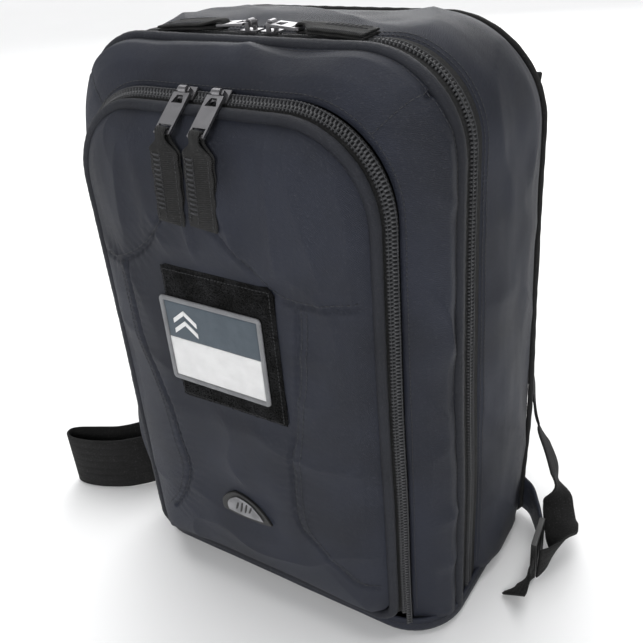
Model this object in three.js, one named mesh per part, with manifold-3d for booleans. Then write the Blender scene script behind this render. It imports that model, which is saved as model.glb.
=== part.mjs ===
// Small first-responder backpack: a zipped clamshell bag with a zipped front pocket, twin
// sliders on both zips, a hook-and-loop badge field, shoulder straps and a waist belt.
// Millimetres, +Z up. The bag stands on the plane z = 0, centred on x = 0, its front faces -Y.
import * as THREE from 'three';
import { mergeVertices } from 'three/addons/utils/BufferGeometryUtils.js';
import Module from 'manifold-3d';

const wasm = await Module();
wasm.setup();

// ---------------------------------------------------------------- driving dimensions

const GAP = 0.3; // clearance between pieces that touch
const CORNER_STEPS = 6; // chords in a rounded corner

// Outline of the bag at the main zip, seen from the front.
const BAG_HALF_WIDTH = 126.5;
const BAG_TOP = 377.5;
const BAG_CORNER = 52;
const WALL_FOOT = 12.6; // lower edge of every upright wall, just above the base tray

// Depth stations, from front to back.
const POCKET_ZIP_Y = -66.5;
const LID_PIPING_Y = -33.6;
const MAIN_ZIP_Y = -17.4;
const BODY_TAPE = 12; // from the main zip back to the rear gusset
const REAR_SEAM_Y = 76.2;
const BACK_FACE_Y = 79;

// Outline of the front pocket at its zip.
const POCKET_HALF_WIDTH = 104.8;
const POCKET_TOP = 355.8;
const POCKET_CORNER = 57;
const POCKET_ZIP_TILT = THREE.MathUtils.degToRad(40); // its teeth face the front as much as outwards

const BASE = { halfWidth: 129, front: -69, back: 76, frontCorner: 38, backCorner: 14, height: 12, skin: 3 };
const ZIP = { half: 0.7, row: 3.4, tooth: 1.8, tape: 0.6 }; // across and through one row of teeth
const PIPING = { main: 3.9, pocket: 3.3 };
const PANEL = { halfWidth: 96.6, foot: 22.5, top: 347.4, topCorner: 48, footCorner: 42, edgeY: -76, crown: 12, skin: 3 };
const LOOP_FIELD = { x: 1, z: 215, width: 82, height: 93, thickness: 1.2 };
const PATCH = { x: -5, z: 212, width: 76, height: 60, thickness: 1.4, border: 3 };
const WEB = { strap: 25, belt: 50, pull: 20, thickness: 1.6 };
const SLIDER = { length: 11, width: 8, underWidth: 6.8, plate: 1, clear: 0.9, barRadius: 0.8 };
const BAR_LIFT = { main: 7.2, pocket: 6.4 }; // from the middle of the teeth out to the tab's bar
const TAB = { width: 11, thickness: 1.5, slotFromEnd: 1.9, slotHeight: 3.6 };
const TAB_LENGTH = { main: 24, pocket: 31 };
const PULL_LENGTH = { main: 42, pocket: 52 };

// ---------------------------------------------------------------- finishes

const FINISH = {
  fabric: { color: 0x2b2c31, roughness: 0.85, metalness: 0 },
  lining: { color: 0x1d1e22, roughness: 0.9, metalness: 0 },
  mesh: { color: 0x17181a, roughness: 0.95, metalness: 0 },
  webbing: { color: 0x131316, roughness: 0.8, metalness: 0 },
  zip: { color: 0x1c1c20, roughness: 0.5, metalness: 0 },
  metal: { color: 0xb9bbbf, roughness: 0.3, metalness: 1 },
  plastic: { color: 0x101012, roughness: 0.4, metalness: 0 },
  loop: { color: 0x0e0e10, roughness: 1, metalness: 0 },
  slate: { color: 0x3f4a54, roughness: 0.8, metalness: 0 },
  thread: { color: 0xb8bbbe, roughness: 0.7, metalness: 0 },
  rubber: { color: 0x151518, roughness: 0.5, metalness: 0 },
  silver: { color: 0x9a9b9e, roughness: 0.4, metalness: 0.6 },
};

const bag = new THREE.Group();

function place(name, geometry, finish, parent = bag) {
  const mesh = new THREE.Mesh(geometry, new THREE.MeshStandardMaterial(FINISH[finish]));
  mesh.name = name;
  parent.add(mesh);
  return mesh;
}

const v3 = (x, y, z) => new THREE.Vector3(x, y, z);

// ---------------------------------------------------------------- solids by lofting

// Direction square to a ring of points, by summing its edge cross products.
function ringNormal(ring) {
  const normal = v3(0, 0, 0);
  ring.forEach((point, i) => {
    const next = ring[(i + 1) % ring.length];
    normal.add(point.clone().cross(next));
  });
  return normal.normalize();
}

function capFaces(ring) {
  const normal = ringNormal(ring);
  const across = ring[1].clone().sub(ring[0]).normalize();
  const up = normal.clone().cross(across);
  const flat = ring.map((point) => new THREE.Vector2(point.dot(across), point.dot(up)));
  return THREE.ShapeUtils.triangulateShape(flat, []);
}

function signedVolume(points, index) {
  let sum = 0;
  for (let i = 0; i < index.length; i += 3) {
    const [a, b, c] = [points[index[i]], points[index[i + 1]], points[index[i + 2]]];
    sum += a.dot(b.clone().cross(c));
  }
  return sum;
}

// Skins a list of rings that all have the same number of points and closes both ends. The two
// halves of a ring are split along mirrored diagonals, so a thin twisted strap never crosses itself.
function loft(rings) {
  const count = rings[0].length;
  const points = rings.flat();
  const index = [];
  for (let k = 0; k + 1 < rings.length; k += 1) {
    for (let i = 0; i < count; i += 1) {
      const j = (i + 1) % count;
      const [a, b, c, d] = [k * count + i, k * count + j, (k + 1) * count + j, (k + 1) * count + i];
      index.push(...(i < count / 2 ? [a, b, c, a, c, d] : [a, b, d, b, c, d]));
    }
  }
  const last = (rings.length - 1) * count;
  capFaces(rings[0]).forEach(([a, b, c]) => index.push(a, c, b));
  capFaces(rings[rings.length - 1]).forEach(([a, b, c]) => index.push(last + a, last + b, last + c));
  if (signedVolume(points, index) < 0) index.reverse();
  const geometry = new THREE.BufferGeometry();
  geometry.setAttribute('position', new THREE.Float32BufferAttribute(points.flatMap((p) => [p.x, p.y, p.z]), 3));
  geometry.setIndex(index);
  return geometry;
}

function arcPoints(cx, cz, radius, from, to) {
  return Array.from({ length: CORNER_STEPS + 1 }, (_, i) => {
    const angle = from + ((to - from) * i) / CORNER_STEPS;
    return [cx + radius * Math.cos(angle), cz + radius * Math.sin(angle)];
  });
}

// An upside-down U, from its right foot over the top to its left foot.
function archPoints({ half, top, corner, foot = WALL_FOOT }) {
  const middle = foot + (top - corner - foot) / 2;
  return [
    [half, foot],
    [half, middle],
    ...arcPoints(half - corner, top - corner, corner, 0, Math.PI / 2),
    [0, top],
    ...arcPoints(corner - half, top - corner, corner, Math.PI / 2, Math.PI),
    [-half, middle],
    [-half, foot],
  ];
}

// A wall that runs up one side of the bag, over the top and down the other side. Its cross
// section is a closed loop of { y, half, top, corner } stations.
function archWall(section) {
  const arches = section.map(archPoints);
  return loft(arches[0].map((_, i) => section.map((s, j) => v3(arches[j][i][0], s.y, arches[j][i][1]))));
}

const inset = (s, t) => ({ ...s, half: s.half - t, top: s.top - t, corner: s.corner - t });

function skinWall(outside, thickness) {
  return archWall([...outside, ...outside.map((s) => inset(s, thickness)).reverse()]);
}

function archRod(path, y, radius) {
  const sides = 8;
  return archWall(Array.from({ length: sides }, (_, i) => {
    const angle = (i * 2 * Math.PI) / sides;
    return { ...inset(path, -radius * Math.cos(angle)), y: y + radius * Math.sin(angle) };
  }));
}

// One row of zip teeth with its strip of tape, on the side of the zip that `side` gives. `reach`
// is how far its tape runs, and `tilt` turns the zip from facing outwards towards the front.
function zipHalf(path, zipY, side, reach, tilt = 0) {
  const [cos, sin] = [Math.cos(tilt), Math.sin(tilt)];
  const level = (distance, lift) => {
    const across = side * distance;
    return { ...inset(path, -(lift * cos + across * sin)), y: zipY + across * cos - lift * sin };
  };
  const profile = [[ZIP.half, ZIP.tooth], [ZIP.row, ZIP.tooth], [ZIP.row, ZIP.tape], [reach, ZIP.tape]];
  const outer = profile.map(([distance, lift]) => level(distance, lift));
  const inner = profile.map(([distance, lift]) => level(distance, -lift)).reverse();
  return archWall([...outer, ...inner]);
}

// Full rounded outline seen from the front, anticlockwise from the lower right corner.
function outlinePoints({ half, foot, top, topCorner, footCorner }) {
  return [
    ...arcPoints(half - footCorner, foot + footCorner, footCorner, -Math.PI / 2, 0),
    ...arcPoints(half - topCorner, top - topCorner, topCorner, 0, Math.PI / 2),
    ...arcPoints(topCorner - half, top - topCorner, topCorner, Math.PI / 2, Math.PI),
    ...arcPoints(footCorner - half, foot + footCorner, footCorner, Math.PI, 1.5 * Math.PI),
  ];
}

function flatPanel(outline, frontY, backY) {
  const points = outlinePoints(outline);
  return loft([frontY, backY].map((y) => points.map(([x, z]) => v3(x, y, z))));
}

// A panel whose middle stands forward of its edge by the crown, hollow behind.
function crownedPanel({ halfWidth, foot, top, topCorner, footCorner, edgeY, crown, skin }) {
  const points = outlinePoints({ half: halfWidth, foot, top, topCorner, footCorner });
  const middle = (foot + top) / 2;
  const scales = [0.15, 0.45, 0.7, 0.87, 1];
  const ring = (s, back) => points.map(([x, z]) => {
    return v3(x * s, edgeY - crown * (1 - s ** 4) + back, middle + (z - middle) * s);
  });
  return loft([...scales.map((s) => ring(s, skin)), ...scales.map((s) => ring(s, 0)).reverse()]);
}

// A strap, flat or rounded: stations give its middle line and the direction of its width.
function strap(stations, width, thickness, sides = 4) {
  const widthAt = typeof width === 'function' ? width : () => width;
  return loft(stations.map(({ at, across }, i) => {
    const before = stations[Math.max(0, i - 1)].at;
    const after = stations[Math.min(stations.length - 1, i + 1)].at;
    const along = after.clone().sub(before).normalize();
    const side = across.clone().addScaledVector(along, -across.dot(along)).normalize();
    const out = along.clone().cross(side);
    const half = widthAt(i / (stations.length - 1)) / 2;
    const reach = sides === 4 ? Math.SQRT2 : 1;
    return Array.from({ length: sides }, (_, k) => {
      const angle = ((k + 0.5) * 2 * Math.PI) / sides;
      return at.clone()
        .addScaledVector(side, reach * half * Math.cos(angle))
        .addScaledVector(out, reach * (thickness / 2) * Math.sin(angle));
    });
  }));
}

const station = (x, y, z, ax, ay, az) => ({ at: v3(x, y, z), across: v3(ax, ay, az).normalize() });

// ---------------------------------------------------------------- solids by joining and cutting

function toSolid(geometry) {
  const plain = geometry.clone();
  plain.deleteAttribute('normal');
  plain.deleteAttribute('uv');
  const merged = mergeVertices(plain, 1e-4);
  return new wasm.Manifold(new wasm.Mesh({
    numProp: 3,
    vertProperties: new Float32Array(merged.attributes.position.array),
    triVerts: new Uint32Array(merged.index.array),
  }));
}

function toGeometry(solid) {
  const mesh = solid.getMesh();
  const geometry = new THREE.BufferGeometry();
  geometry.setAttribute('position', new THREE.Float32BufferAttribute(Array.from(mesh.vertProperties), 3));
  geometry.setIndex(Array.from(mesh.triVerts));
  return geometry;
}

function joined(...geometries) {
  return toGeometry(geometries.map(toSolid).reduce((sum, solid) => sum.add(solid)));
}

function cut(geometry, ...tools) {
  return toGeometry(tools.map(toSolid).reduce((rest, tool) => rest.subtract(tool), toSolid(geometry)));
}

function box(x0, x1, y0, y1, z0, z1) {
  return new THREE.BoxGeometry(x1 - x0, y1 - y0, z1 - z0)
    .translate((x0 + x1) / 2, (y0 + y1) / 2, (z0 + z1) / 2);
}

// A cylinder along X.
function rod(x0, x1, y, z, radius, sides = 12) {
  return new THREE.CylinderGeometry(radius, radius, x1 - x0, sides)
    .rotateZ(Math.PI / 2)
    .translate((x0 + x1) / 2, y, z);
}

function roundedRectangle(width, height, radius) {
  const [w, h, r] = [width / 2, height / 2, radius];
  const shape = new THREE.Shape();
  shape.moveTo(-w + r, -h);
  shape.lineTo(w - r, -h);
  shape.absarc(w - r, -h + r, r, -Math.PI / 2, 0);
  shape.lineTo(w, h - r);
  shape.absarc(w - r, h - r, r, 0, Math.PI / 2);
  shape.lineTo(-w + r, h);
  shape.absarc(-w + r, h - r, r, Math.PI / 2, Math.PI);
  shape.lineTo(-w, -h + r);
  shape.absarc(-w + r, -h + r, r, Math.PI, 1.5 * Math.PI);
  return shape;
}

// Extrudes a shape drawn in x and z, from its front face back through the thickness.
function plateFacingFront(shape, frontY, thickness, curveSegments = 4) {
  return new THREE.ExtrudeGeometry(shape, { depth: thickness, bevelEnabled: false, curveSegments })
    .rotateX(Math.PI / 2)
    .translate(0, frontY + thickness, 0);
}

// ---------------------------------------------------------------- shell of the bag

function baseOutline(margin) {
  const { halfWidth, front, back, frontCorner, backCorner } = BASE;
  const [x, y0, y1] = [halfWidth - margin, front + margin, back - margin];
  const [rf, rb] = [frontCorner - margin, backCorner - margin];
  const shape = new THREE.Shape();
  shape.moveTo(-x + rf, y0);
  shape.lineTo(x - rf, y0);
  shape.absarc(x - rf, y0 + rf, rf, -Math.PI / 2, 0);
  shape.lineTo(x, y1 - rb);
  shape.absarc(x - rb, y1 - rb, rb, 0, Math.PI / 2);
  shape.lineTo(-x + rb, y1);
  shape.absarc(-x + rb, y1 - rb, rb, Math.PI / 2, Math.PI);
  shape.lineTo(-x, y0 + rf);
  shape.absarc(-x + rf, y0 + rf, rf, Math.PI, 1.5 * Math.PI);
  return shape;
}

function buildShell() {
  const settings = { bevelEnabled: false, curveSegments: CORNER_STEPS };
  const block = new THREE.ExtrudeGeometry(baseOutline(0), { ...settings, depth: BASE.height });
  const hollow = new THREE.ExtrudeGeometry(baseOutline(BASE.skin), { ...settings, depth: BASE.height });
  place('base_tray', cut(block, hollow.translate(0, 0, BASE.skin)), 'fabric');

  const gusset = [
    { y: MAIN_ZIP_Y + BODY_TAPE, half: 126.8, top: 377.6, corner: 52 },
    { y: 20, half: 130.6, top: 378.6, corner: 56 },
    { y: 48, half: 132, top: 377.8, corner: 60 },
    { y: REAR_SEAM_Y, half: 130, top: 374, corner: 62 },
  ];
  place('rear_gusset', skinWall(gusset, 2.6), 'fabric');

  const back = { half: 130, foot: 1, top: 374, topCorner: 62, footCorner: 14 };
  place('back_panel', flatPanel(back, REAR_SEAM_Y + GAP, BACK_FACE_Y), 'fabric');
  const sheet = { half: 121, foot: 16, top: 360, topCorner: 52, footCorner: 12 };
  place('frame_sheet', flatPanel(sheet, 72, 74), 'plastic');

  const pouch = box(-95, 95, 50, 72 - GAP, 30, 190);
  place('inner_pocket', cut(pouch, box(-93.5, 93.5, 51.5, 80, 31.5, 200)), 'lining');

  const yoke = roundedRectangle(176, 34, 6);
  place('strap_yoke', plateFacingFront(yoke, BACK_FACE_Y + GAP, 2.4).translate(0, 0, 336), 'webbing');
  for (const [name, side] of [['left', -1], ['right', 1]]) {
    const pad = roundedRectangle(88, 262, 14);
    place(`back_pad_${name}`, plateFacingFront(pad, BACK_FACE_Y + GAP, 7).translate(side * 57, 0, 176), 'mesh');
    const hanger = [
      station(side * 106, BACK_FACE_Y + 1.9, 333, 0, 0, 1),
      station(side * 113, 88, 333, 0, 0, 1),
      station(side * 119, 99, 331, 0, 0, 1),
    ];
    place(`corner_hanger_${name}`, strap(hanger, 13, 3), 'webbing');
  }
}

// ---------------------------------------------------------------- zips, lid and pocket

const MAIN_PATH = { half: BAG_HALF_WIDTH, top: BAG_TOP, corner: BAG_CORNER };
const POCKET_PATH = { half: POCKET_HALF_WIDTH, top: POCKET_TOP, corner: POCKET_CORNER };
const TAPE_STUB = 1; // tape that shows beside the pocket zip's teeth
const LID_WALL_FRONT_Y = POCKET_ZIP_Y + ZIP.row + 2;

function buildLid() {
  place('main_zip_body', zipHalf(MAIN_PATH, MAIN_ZIP_Y, 1, BODY_TAPE - GAP), 'zip');
  const lidTape = MAIN_ZIP_Y - LID_PIPING_Y - PIPING.main - GAP;
  place('main_zip_lid', zipHalf(MAIN_PATH, MAIN_ZIP_Y, -1, lidTape), 'zip');
  place('lid_piping', archRod(MAIN_PATH, LID_PIPING_Y, PIPING.main), 'webbing');
  const seam = POCKET_ZIP_Y + 5.6;
  const gusset = [
    { y: LID_PIPING_Y - PIPING.main - GAP, half: 126.2, top: 377.2, corner: 53 },
    { y: -46, half: 122.6, top: 373.6, corner: 54 },
    { y: -55, half: 115.4, top: 366.4, corner: 55.5 },
    { y: seam, half: 106.6, top: 357.6, corner: 57 },
  ];
  place('lid_gusset', skinWall(gusset, 2.4), 'fabric');
  const wall = { half: 102.4, foot: 14, top: 353, topCorner: 55, footCorner: 20 };
  place('lid_wall', flatPanel(wall, LID_WALL_FRONT_Y, LID_WALL_FRONT_Y + 1.8), 'lining');
  place('pocket_zip_lid', zipHalf(POCKET_PATH, POCKET_ZIP_Y, 1, ZIP.row + TAPE_STUB, POCKET_ZIP_TILT), 'zip');
}

const FIELD_BACK_Y = PANEL.edgeY - PANEL.crown - 0.4;
const FIELD_FRONT_Y = FIELD_BACK_Y - LOOP_FIELD.thickness;

// A leaf seen from the front: flat below, rounded at its left end, pointed at its right end.
function leaf(scale) {
  const shape = new THREE.Shape();
  shape.moveTo(-19 * scale, -9 * scale);
  shape.quadraticCurveTo(-24 * scale, 2 * scale, -8 * scale, 10 * scale);
  shape.quadraticCurveTo(10 * scale, 10 * scale, 21 * scale, -9 * scale);
  shape.quadraticCurveTo(2 * scale, -12 * scale, -19 * scale, -9 * scale);
  return shape;
}

function buildPocket() {
  const tapeEdge = POCKET_ZIP_Y - ZIP.row - TAPE_STUB;
  const pipingY = tapeEdge - GAP - PIPING.pocket;
  const path = { ...inset(POCKET_PATH, 4.6), foot: 20 };
  const frontPath = { ...POCKET_PATH, foot: 20 };
  place('pocket_zip_front', zipHalf(frontPath, POCKET_ZIP_Y, -1, ZIP.row + TAPE_STUB, POCKET_ZIP_TILT), 'zip');
  place('pocket_piping', archRod(path, pipingY, PIPING.pocket), 'webbing');
  place('pocket_panel', crownedPanel(PANEL), 'fabric');
  const field = roundedRectangle(LOOP_FIELD.width, LOOP_FIELD.height, 3);
  place('loop_field', plateFacingFront(field, FIELD_FRONT_Y, LOOP_FIELD.thickness, 2)
    .translate(LOOP_FIELD.x, 0, LOOP_FIELD.z), 'loop');
  const badgeFront = -89.4;
  place('badge_rim', plateFacingFront(leaf(1), badgeFront, 2.4, 8).translate(-3, 0, 87), 'rubber');
  place('badge_inlay', plateFacingFront(leaf(0.72), badgeFront - GAP - 0.7, 0.7, 8).translate(-3, 0, 87), 'silver');
}

function buildPatch() {
  const cloth = roundedRectangle(PATCH.width - 2 * PATCH.border - 2 * GAP, PATCH.height - 2 * PATCH.border - 2 * GAP, 1);
  const front = FIELD_FRONT_Y - GAP - PATCH.thickness;
  place('patch_cloth', plateFacingFront(cloth, front, PATCH.thickness, 2).translate(PATCH.x, 0, PATCH.z), 'slate');
  const rim = roundedRectangle(PATCH.width, PATCH.height, 3);
  rim.holes.push(roundedRectangle(PATCH.width - 2 * PATCH.border, PATCH.height - 2 * PATCH.border, 1));
  place('patch_border', plateFacingFront(rim, front - 0.5, PATCH.thickness + 0.5, 2).translate(PATCH.x, 0, PATCH.z), 'thread');
}

// ---------------------------------------------------------------- sliders and their pulls

// Drawn with the zip along X and its outside facing +Z. The pull turns on a bar above the top
// plate; the bar lies along X, and `turned` swings it to lie across the zip.
function sliderBody(barLift, turned) {
  const { length, width, underWidth, plate, clear, barRadius } = SLIDER;
  const [l, w, under, z0] = [length / 2, width / 2, underWidth / 2, ZIP.tooth + clear];
  const posts = [-1, 1].map((s) => box(s * 3.6 - 0.7, s * 3.6 + 0.7, -1.3, 1.3, z0, barLift + 0.9));
  const bar = rod(-3.6, 3.6, 0, barLift, barRadius, 8);
  const crown = [...posts, bar].map((piece) => (turned ? piece.rotateZ(Math.PI / 2) : piece));
  return joined(
    box(-l, l, -w, w, z0, z0 + plate),
    box(-l, l, -under, under, -z0 - plate, -z0),
    box(-1.5, 1.5, -ZIP.half / 2, ZIP.half / 2, -z0 - plate / 2, z0 + plate / 2),
    ...crown,
  );
}

// A stamped tab that hangs from the bar along -Z, its eye at the origin and its bar along X. A
// window below the eye widens downwards.
function tabBody(length) {
  const { width, thickness, slotFromEnd, slotHeight } = TAB;
  const [w, t] = [width / 2, thickness / 2];
  const end = 3 - length;
  const plate = box(-w, w, -t, t, end, -2.2);
  const eye = rod(-2.5, 2.5, 0, 0, 2.4, 12);
  const neck = box(-2.5, 2.5, -t, t, -3, -1.2);
  const hole = rod(-4, 4, 0, 0, SLIDER.barRadius + 0.5, 10);
  const corners = [[-2, -4], [2, -4], [3.8, -9], [-3.8, -9]].map(([x, z]) => new THREE.Vector2(x, z));
  const opening = plateFacingFront(new THREE.Shape(corners), -2, 4);
  const slot = box(-w + 1.2, w - 1.2, -2, 2, end + slotFromEnd, end + slotFromEnd + slotHeight);
  return cut(joined(plate, eye, neck), hole, opening, slot);
}

// A folded webbing pull that hangs along -Z, looped at the origin round the tab's end bar.
function pullBody(length) {
  const ring = rod(-3.4, 3.4, 0, 0, 3.0, 12);
  const bore = rod(-5, 5, 0, 0, 1.8, 10);
  const throat = box(-3.4, 3.4, -1.4, 1.4, -5, -2.3);
  const strip = box(-WEB.pull / 2, WEB.pull / 2, -1.7, 1.7, -length, -4.2);
  return cut(joined(ring, throat, strip), bore);
}

// From a tab's eye to its end bar.
const endBar = (length) => length - 3 - TAB.slotFromEnd / 2;

// Sets a slider on the tilted pocket zip. `fall` turns its tab from straight down towards the
// front, and its pull hangs from the tab's end, swayed a little to one side.
function hungSlider(side, x, fall, sway) {
  const out = v3(0, -Math.sin(POCKET_ZIP_TILT), Math.cos(POCKET_ZIP_TILT));
  const seat = v3(x, POCKET_ZIP_Y, POCKET_TOP);
  const pivot = seat.clone().addScaledVector(out, BAR_LIFT.pocket);
  const tabFrame = new THREE.Group();
  tabFrame.position.copy(pivot);
  tabFrame.rotation.x = -fall;
  const pullFrame = new THREE.Group();
  pullFrame.position.copy(pivot).addScaledVector(v3(0, -Math.sin(fall), -Math.cos(fall)), endBar(TAB_LENGTH.pocket));
  pullFrame.rotation.y = sway;
  bag.add(tabFrame, pullFrame);
  const body = sliderBody(BAR_LIFT.pocket, false).rotateX(POCKET_ZIP_TILT).translate(seat.x, seat.y, seat.z);
  place(`pocket_slider_${side}`, body, 'metal');
  place(`pocket_tab_${side}`, tabBody(TAB_LENGTH.pocket), 'metal', tabFrame);
  place(`pocket_pull_${side}`, pullBody(PULL_LENGTH.pocket), 'webbing', pullFrame);
}

// The same, lying along the zip: `dip` is how far the tab slopes down from level.
function lyingSlider(side, sign, x, dip) {
  const pivot = v3(x, MAIN_ZIP_Y, BAG_TOP + BAR_LIFT.main);
  const tabFrame = new THREE.Group();
  tabFrame.position.copy(pivot);
  tabFrame.rotation.set(-(Math.PI / 2 - dip), 0, sign * (Math.PI / 2), 'ZXY');
  const reach = v3(sign * Math.cos(dip), 0, -Math.sin(dip)).multiplyScalar(endBar(TAB_LENGTH.main));
  const pullFrame = new THREE.Group();
  pullFrame.position.copy(pivot).add(reach);
  pullFrame.rotation.set(-Math.PI / 2, 0, sign * (Math.PI / 2), 'ZXY');
  bag.add(tabFrame, pullFrame);
  const body = sliderBody(BAR_LIFT.main, true).translate(x, MAIN_ZIP_Y, BAG_TOP);
  place(`main_slider_${side}`, body, 'metal');
  place(`main_tab_${side}`, tabBody(TAB_LENGTH.main), 'metal', tabFrame);
  place(`main_pull_${side}`, pullBody(PULL_LENGTH.main), 'webbing', pullFrame);
}

function buildSliders() {
  const [fall, sway] = [52, 5].map(THREE.MathUtils.degToRad);
  hungSlider('left', -15, fall, sway);
  hungSlider('right', 8, fall, sway);
  const dip = THREE.MathUtils.degToRad(4);
  lyingSlider('left', -1, -7, dip);
  lyingSlider('right', 1, 7.5, dip);
}

// ---------------------------------------------------------------- harness

function buildHandle() {
  const path = [
    station(-42, 83, 366, 1, 0, 0),
    station(-41, 93, 361, 1, 0, 0.2),
    station(-34, 101, 352, 0.7, 0, 0.7),
    station(-18, 105, 345, 0.3, 0, 1),
    station(0, 106, 343, 0, 0, 1),
    station(18, 105, 345, -0.3, 0, 1),
    station(34, 101, 352, -0.7, 0, 0.7),
    station(41, 93, 361, -1, 0, 0.2),
    station(42, 83, 366, -1, 0, 0),
  ];
  place('grab_handle', strap(path, 14, 6, 8), 'webbing');
}

function padStations(side) {
  const line = [[54, 92.5, 330], [66, 97, 312], [80, 100.5, 290], [91, 102, 262], [97, 102.5, 232], [99, 102, 200], [99, 101, 160]];
  return line.map(([x, y, z]) => station(side * x, y, z, side, 0, 0));
}

// The ladder lock stands on its long edge: three upright bars in a frame.
function ladderLock() {
  const frame = box(-2, 2, -27, 2, 1, 33);
  const slots = [-1, -11, -20].map((y) => box(-4, 4, y - 3.6, y, 4, 30));
  return cut(frame, ...slots);
}

function buildStraps() {
  for (const [name, side] of [['left', -1], ['right', 1]]) {
    place(`strap_pad_${name}`, strap(padStations(side), (t) => 56 - 10 * t, 9, 8), 'mesh');
  }
  const right = [
    station(98.5, 100.8, 159, 1, 0, 0),
    station(98.5, 100.8, 151, 1, 0, 0),
    station(112, 103, 132, 0.6, 0.75, 0.1),
    station(124, 103, 110, -0.25, 0.93, -0.2),
    station(131, 100, 78, -0.34, 0.8, -0.49),
    station(142, 91, 65, -0.08, 0.85, -0.5),
    station(150, 88, 48, -0.02, 0.85, -0.51),
    station(154, 84, 38, -0.2, 0.83, -0.5),
    station(158, 78, 25, 0.75, 0.6, -0.3),
    station(162, 70, 19.5, 0.87, 0.44, -0.25),
    station(168.5, 56.5, 17, 0.82, 0.38, 0.4),
    station(170.5, 42, 16, 0.4, 0.2, 0.88),
    station(168, 28, 16, 0.2, 0.2, 0.9),
    station(164.5, 19, 17, 0, 0, 1),
  ];
  place('strap_web_right', strap(right, WEB.strap, WEB.thickness), 'webbing');
  const left = [
    station(-98.5, 100.8, 159, 1, 0, 0),
    station(-98.5, 100.8, 151, 1, 0, 0),
    station(-104, 110, 133, 0.95, 0.1, 0.3),
    station(-114, 124, 105, 0.8, 0.2, 0.55),
    station(-126, 138, 70, 0.55, 0.1, 0.8),
    station(-138, 148, 40, 0.3, -0.2, 0.93),
    station(-147, 146, 20, 0.1, -0.1, 1),
    station(-145, 135, 16, 0, 0, 1),
  ];
  place('strap_web_left', strap(left, WEB.strap, WEB.thickness), 'webbing');
  buildAdjusters();
}

function buildAdjusters() {
  const wing = (side, points) => strap(points.map(([x, y, z]) => station(side * x, y, z, 0, 0, 1)), (t) => 31 - 7 * t, 2.4);
  place('corner_wing_right', wing(1, [[128, 81.5, 21], [138, 76, 19.5], [147, 64, 18], [154.5, 51, 17.5]]), 'fabric');
  place('corner_wing_left', wing(-1, [[126, 83.5, 21], [133, 88, 19], [137, 96.5, 17]]), 'fabric');
  const rightLock = new THREE.Group();
  rightLock.position.set(156.5, 46, 0);
  rightLock.rotation.z = THREE.MathUtils.degToRad(8);
  const leftLock = new THREE.Group();
  leftLock.position.set(-138.5, 102.5, 0);
  leftLock.rotation.z = THREE.MathUtils.degToRad(176);
  bag.add(rightLock, leftLock);
  place('strap_adjuster_right', ladderLock(), 'plastic', rightLock);
  place('strap_adjuster_left', ladderLock(), 'plastic', leftLock);
  const rightTail = [
    station(162, 15.8, 16, 0, 0, 1),
    station(161.2, 9, 14.5, 0.2, 0, 1),
    station(160, 3, 12, 0.5, 0.1, 0.8),
    station(157, -9, 9.8, 0.78, 0.1, 0.62),
  ];
  place('strap_tail_right', strap(rightTail, WEB.strap, WEB.thickness), 'webbing');
  const leftTail = [
    station(-136, 132.6, 16, 0, 0, 1),
    station(-129, 137, 15, 0, 0.1, 1),
    station(-114, 139.5, 14, 0, 0.2, 1),
    station(-92, 140, 13.5, 0, 0.3, 1),
  ];
  place('strap_tail_left', strap(leftTail, WEB.strap, WEB.thickness), 'webbing');
}

// ---------------------------------------------------------------- waist belt

// The plug half of a side-release buckle, seen flat: its prongs point along +X.
function plugShape() {
  const shape = new THREE.Shape();
  shape.moveTo(0, -30);
  shape.lineTo(14, -30);
  shape.lineTo(18, -26);
  shape.lineTo(40, -27);
  shape.lineTo(46, -21);
  shape.lineTo(40, -19);
  shape.lineTo(20, -17);
  shape.lineTo(18, -5);
  shape.lineTo(44, -3);
  shape.lineTo(44, 3);
  shape.lineTo(18, 5);
  shape.lineTo(20, 17);
  shape.lineTo(40, 19);
  shape.lineTo(46, 21);
  shape.lineTo(40, 27);
  shape.lineTo(18, 26);
  shape.lineTo(14, 30);
  shape.lineTo(0, 30);
  shape.closePath();
  const slot = new THREE.Path();
  slot.moveTo(4, -26);
  slot.lineTo(4, 26);
  slot.lineTo(7.5, 26);
  slot.lineTo(7.5, -26);
  slot.closePath();
  shape.holes.push(slot);
  return shape;
}

// Both buckle halves stand on edge, like the webbing, with their width along Z.
function buckleHalves() {
  const plug = new THREE.ExtrudeGeometry(plugShape(), { depth: 7, bevelEnabled: false })
    .translate(0, 0, -3.5)
    .rotateX(Math.PI / 2);
  const shell = box(0, 46, -6, 6, -31, 31);
  const cavity = box(-2, 31, -4, 4, -28.5, 28.5);
  const slot = box(38, 41.5, -10, 10, -26, 26);
  return { plug, socket: cut(shell, cavity, slot) };
}

function buildBelt() {
  const onEdge = ([x, y, z]) => station(x, y, z, 0, 0, 1);
  const left = [
    [-112, 81.3, 59.5], [-118, 89, 59.5], [-130, 92.5, 59.5], [-141, 86, 58], [-147, 70, 54], [-150, 40, 45],
    [-151, 5, 34], [-156, -24, 27], [-172, -43, 26], [-190, -54, 26], [-208, -60, 26], [-221, -60, 26],
    [-225.5, -54, 26], [-221, -48, 26], [-206, -40, 26], [-188, -30, 26], [-174, -18, 28], [-167.5, -4, 30.5],
    [-166, 5, 31.2], [-166, 9.5, 31.2],
  ];
  place('belt_web_left', strap(left.map(onEdge), WEB.belt, WEB.thickness), 'webbing');
  const right = [
    [112, 81.3, 59.5], [110, 92, 59.5], [101, 105, 57], [84, 114, 50], [66, 120, 36], [56, 121.5, 31.2], [48.8, 121.5, 31.2],
  ];
  place('belt_web_right', strap(right.map(onEdge), WEB.belt, WEB.thickness), 'webbing');
  const { plug, socket } = buckleHalves();
  place('buckle_plug', plug.rotateZ(Math.PI / 2).translate(-166, 10.5, 31.2), 'plastic');
  place('buckle_socket', socket.translate(1.5, 121.5, 31.2), 'plastic');
}

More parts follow.
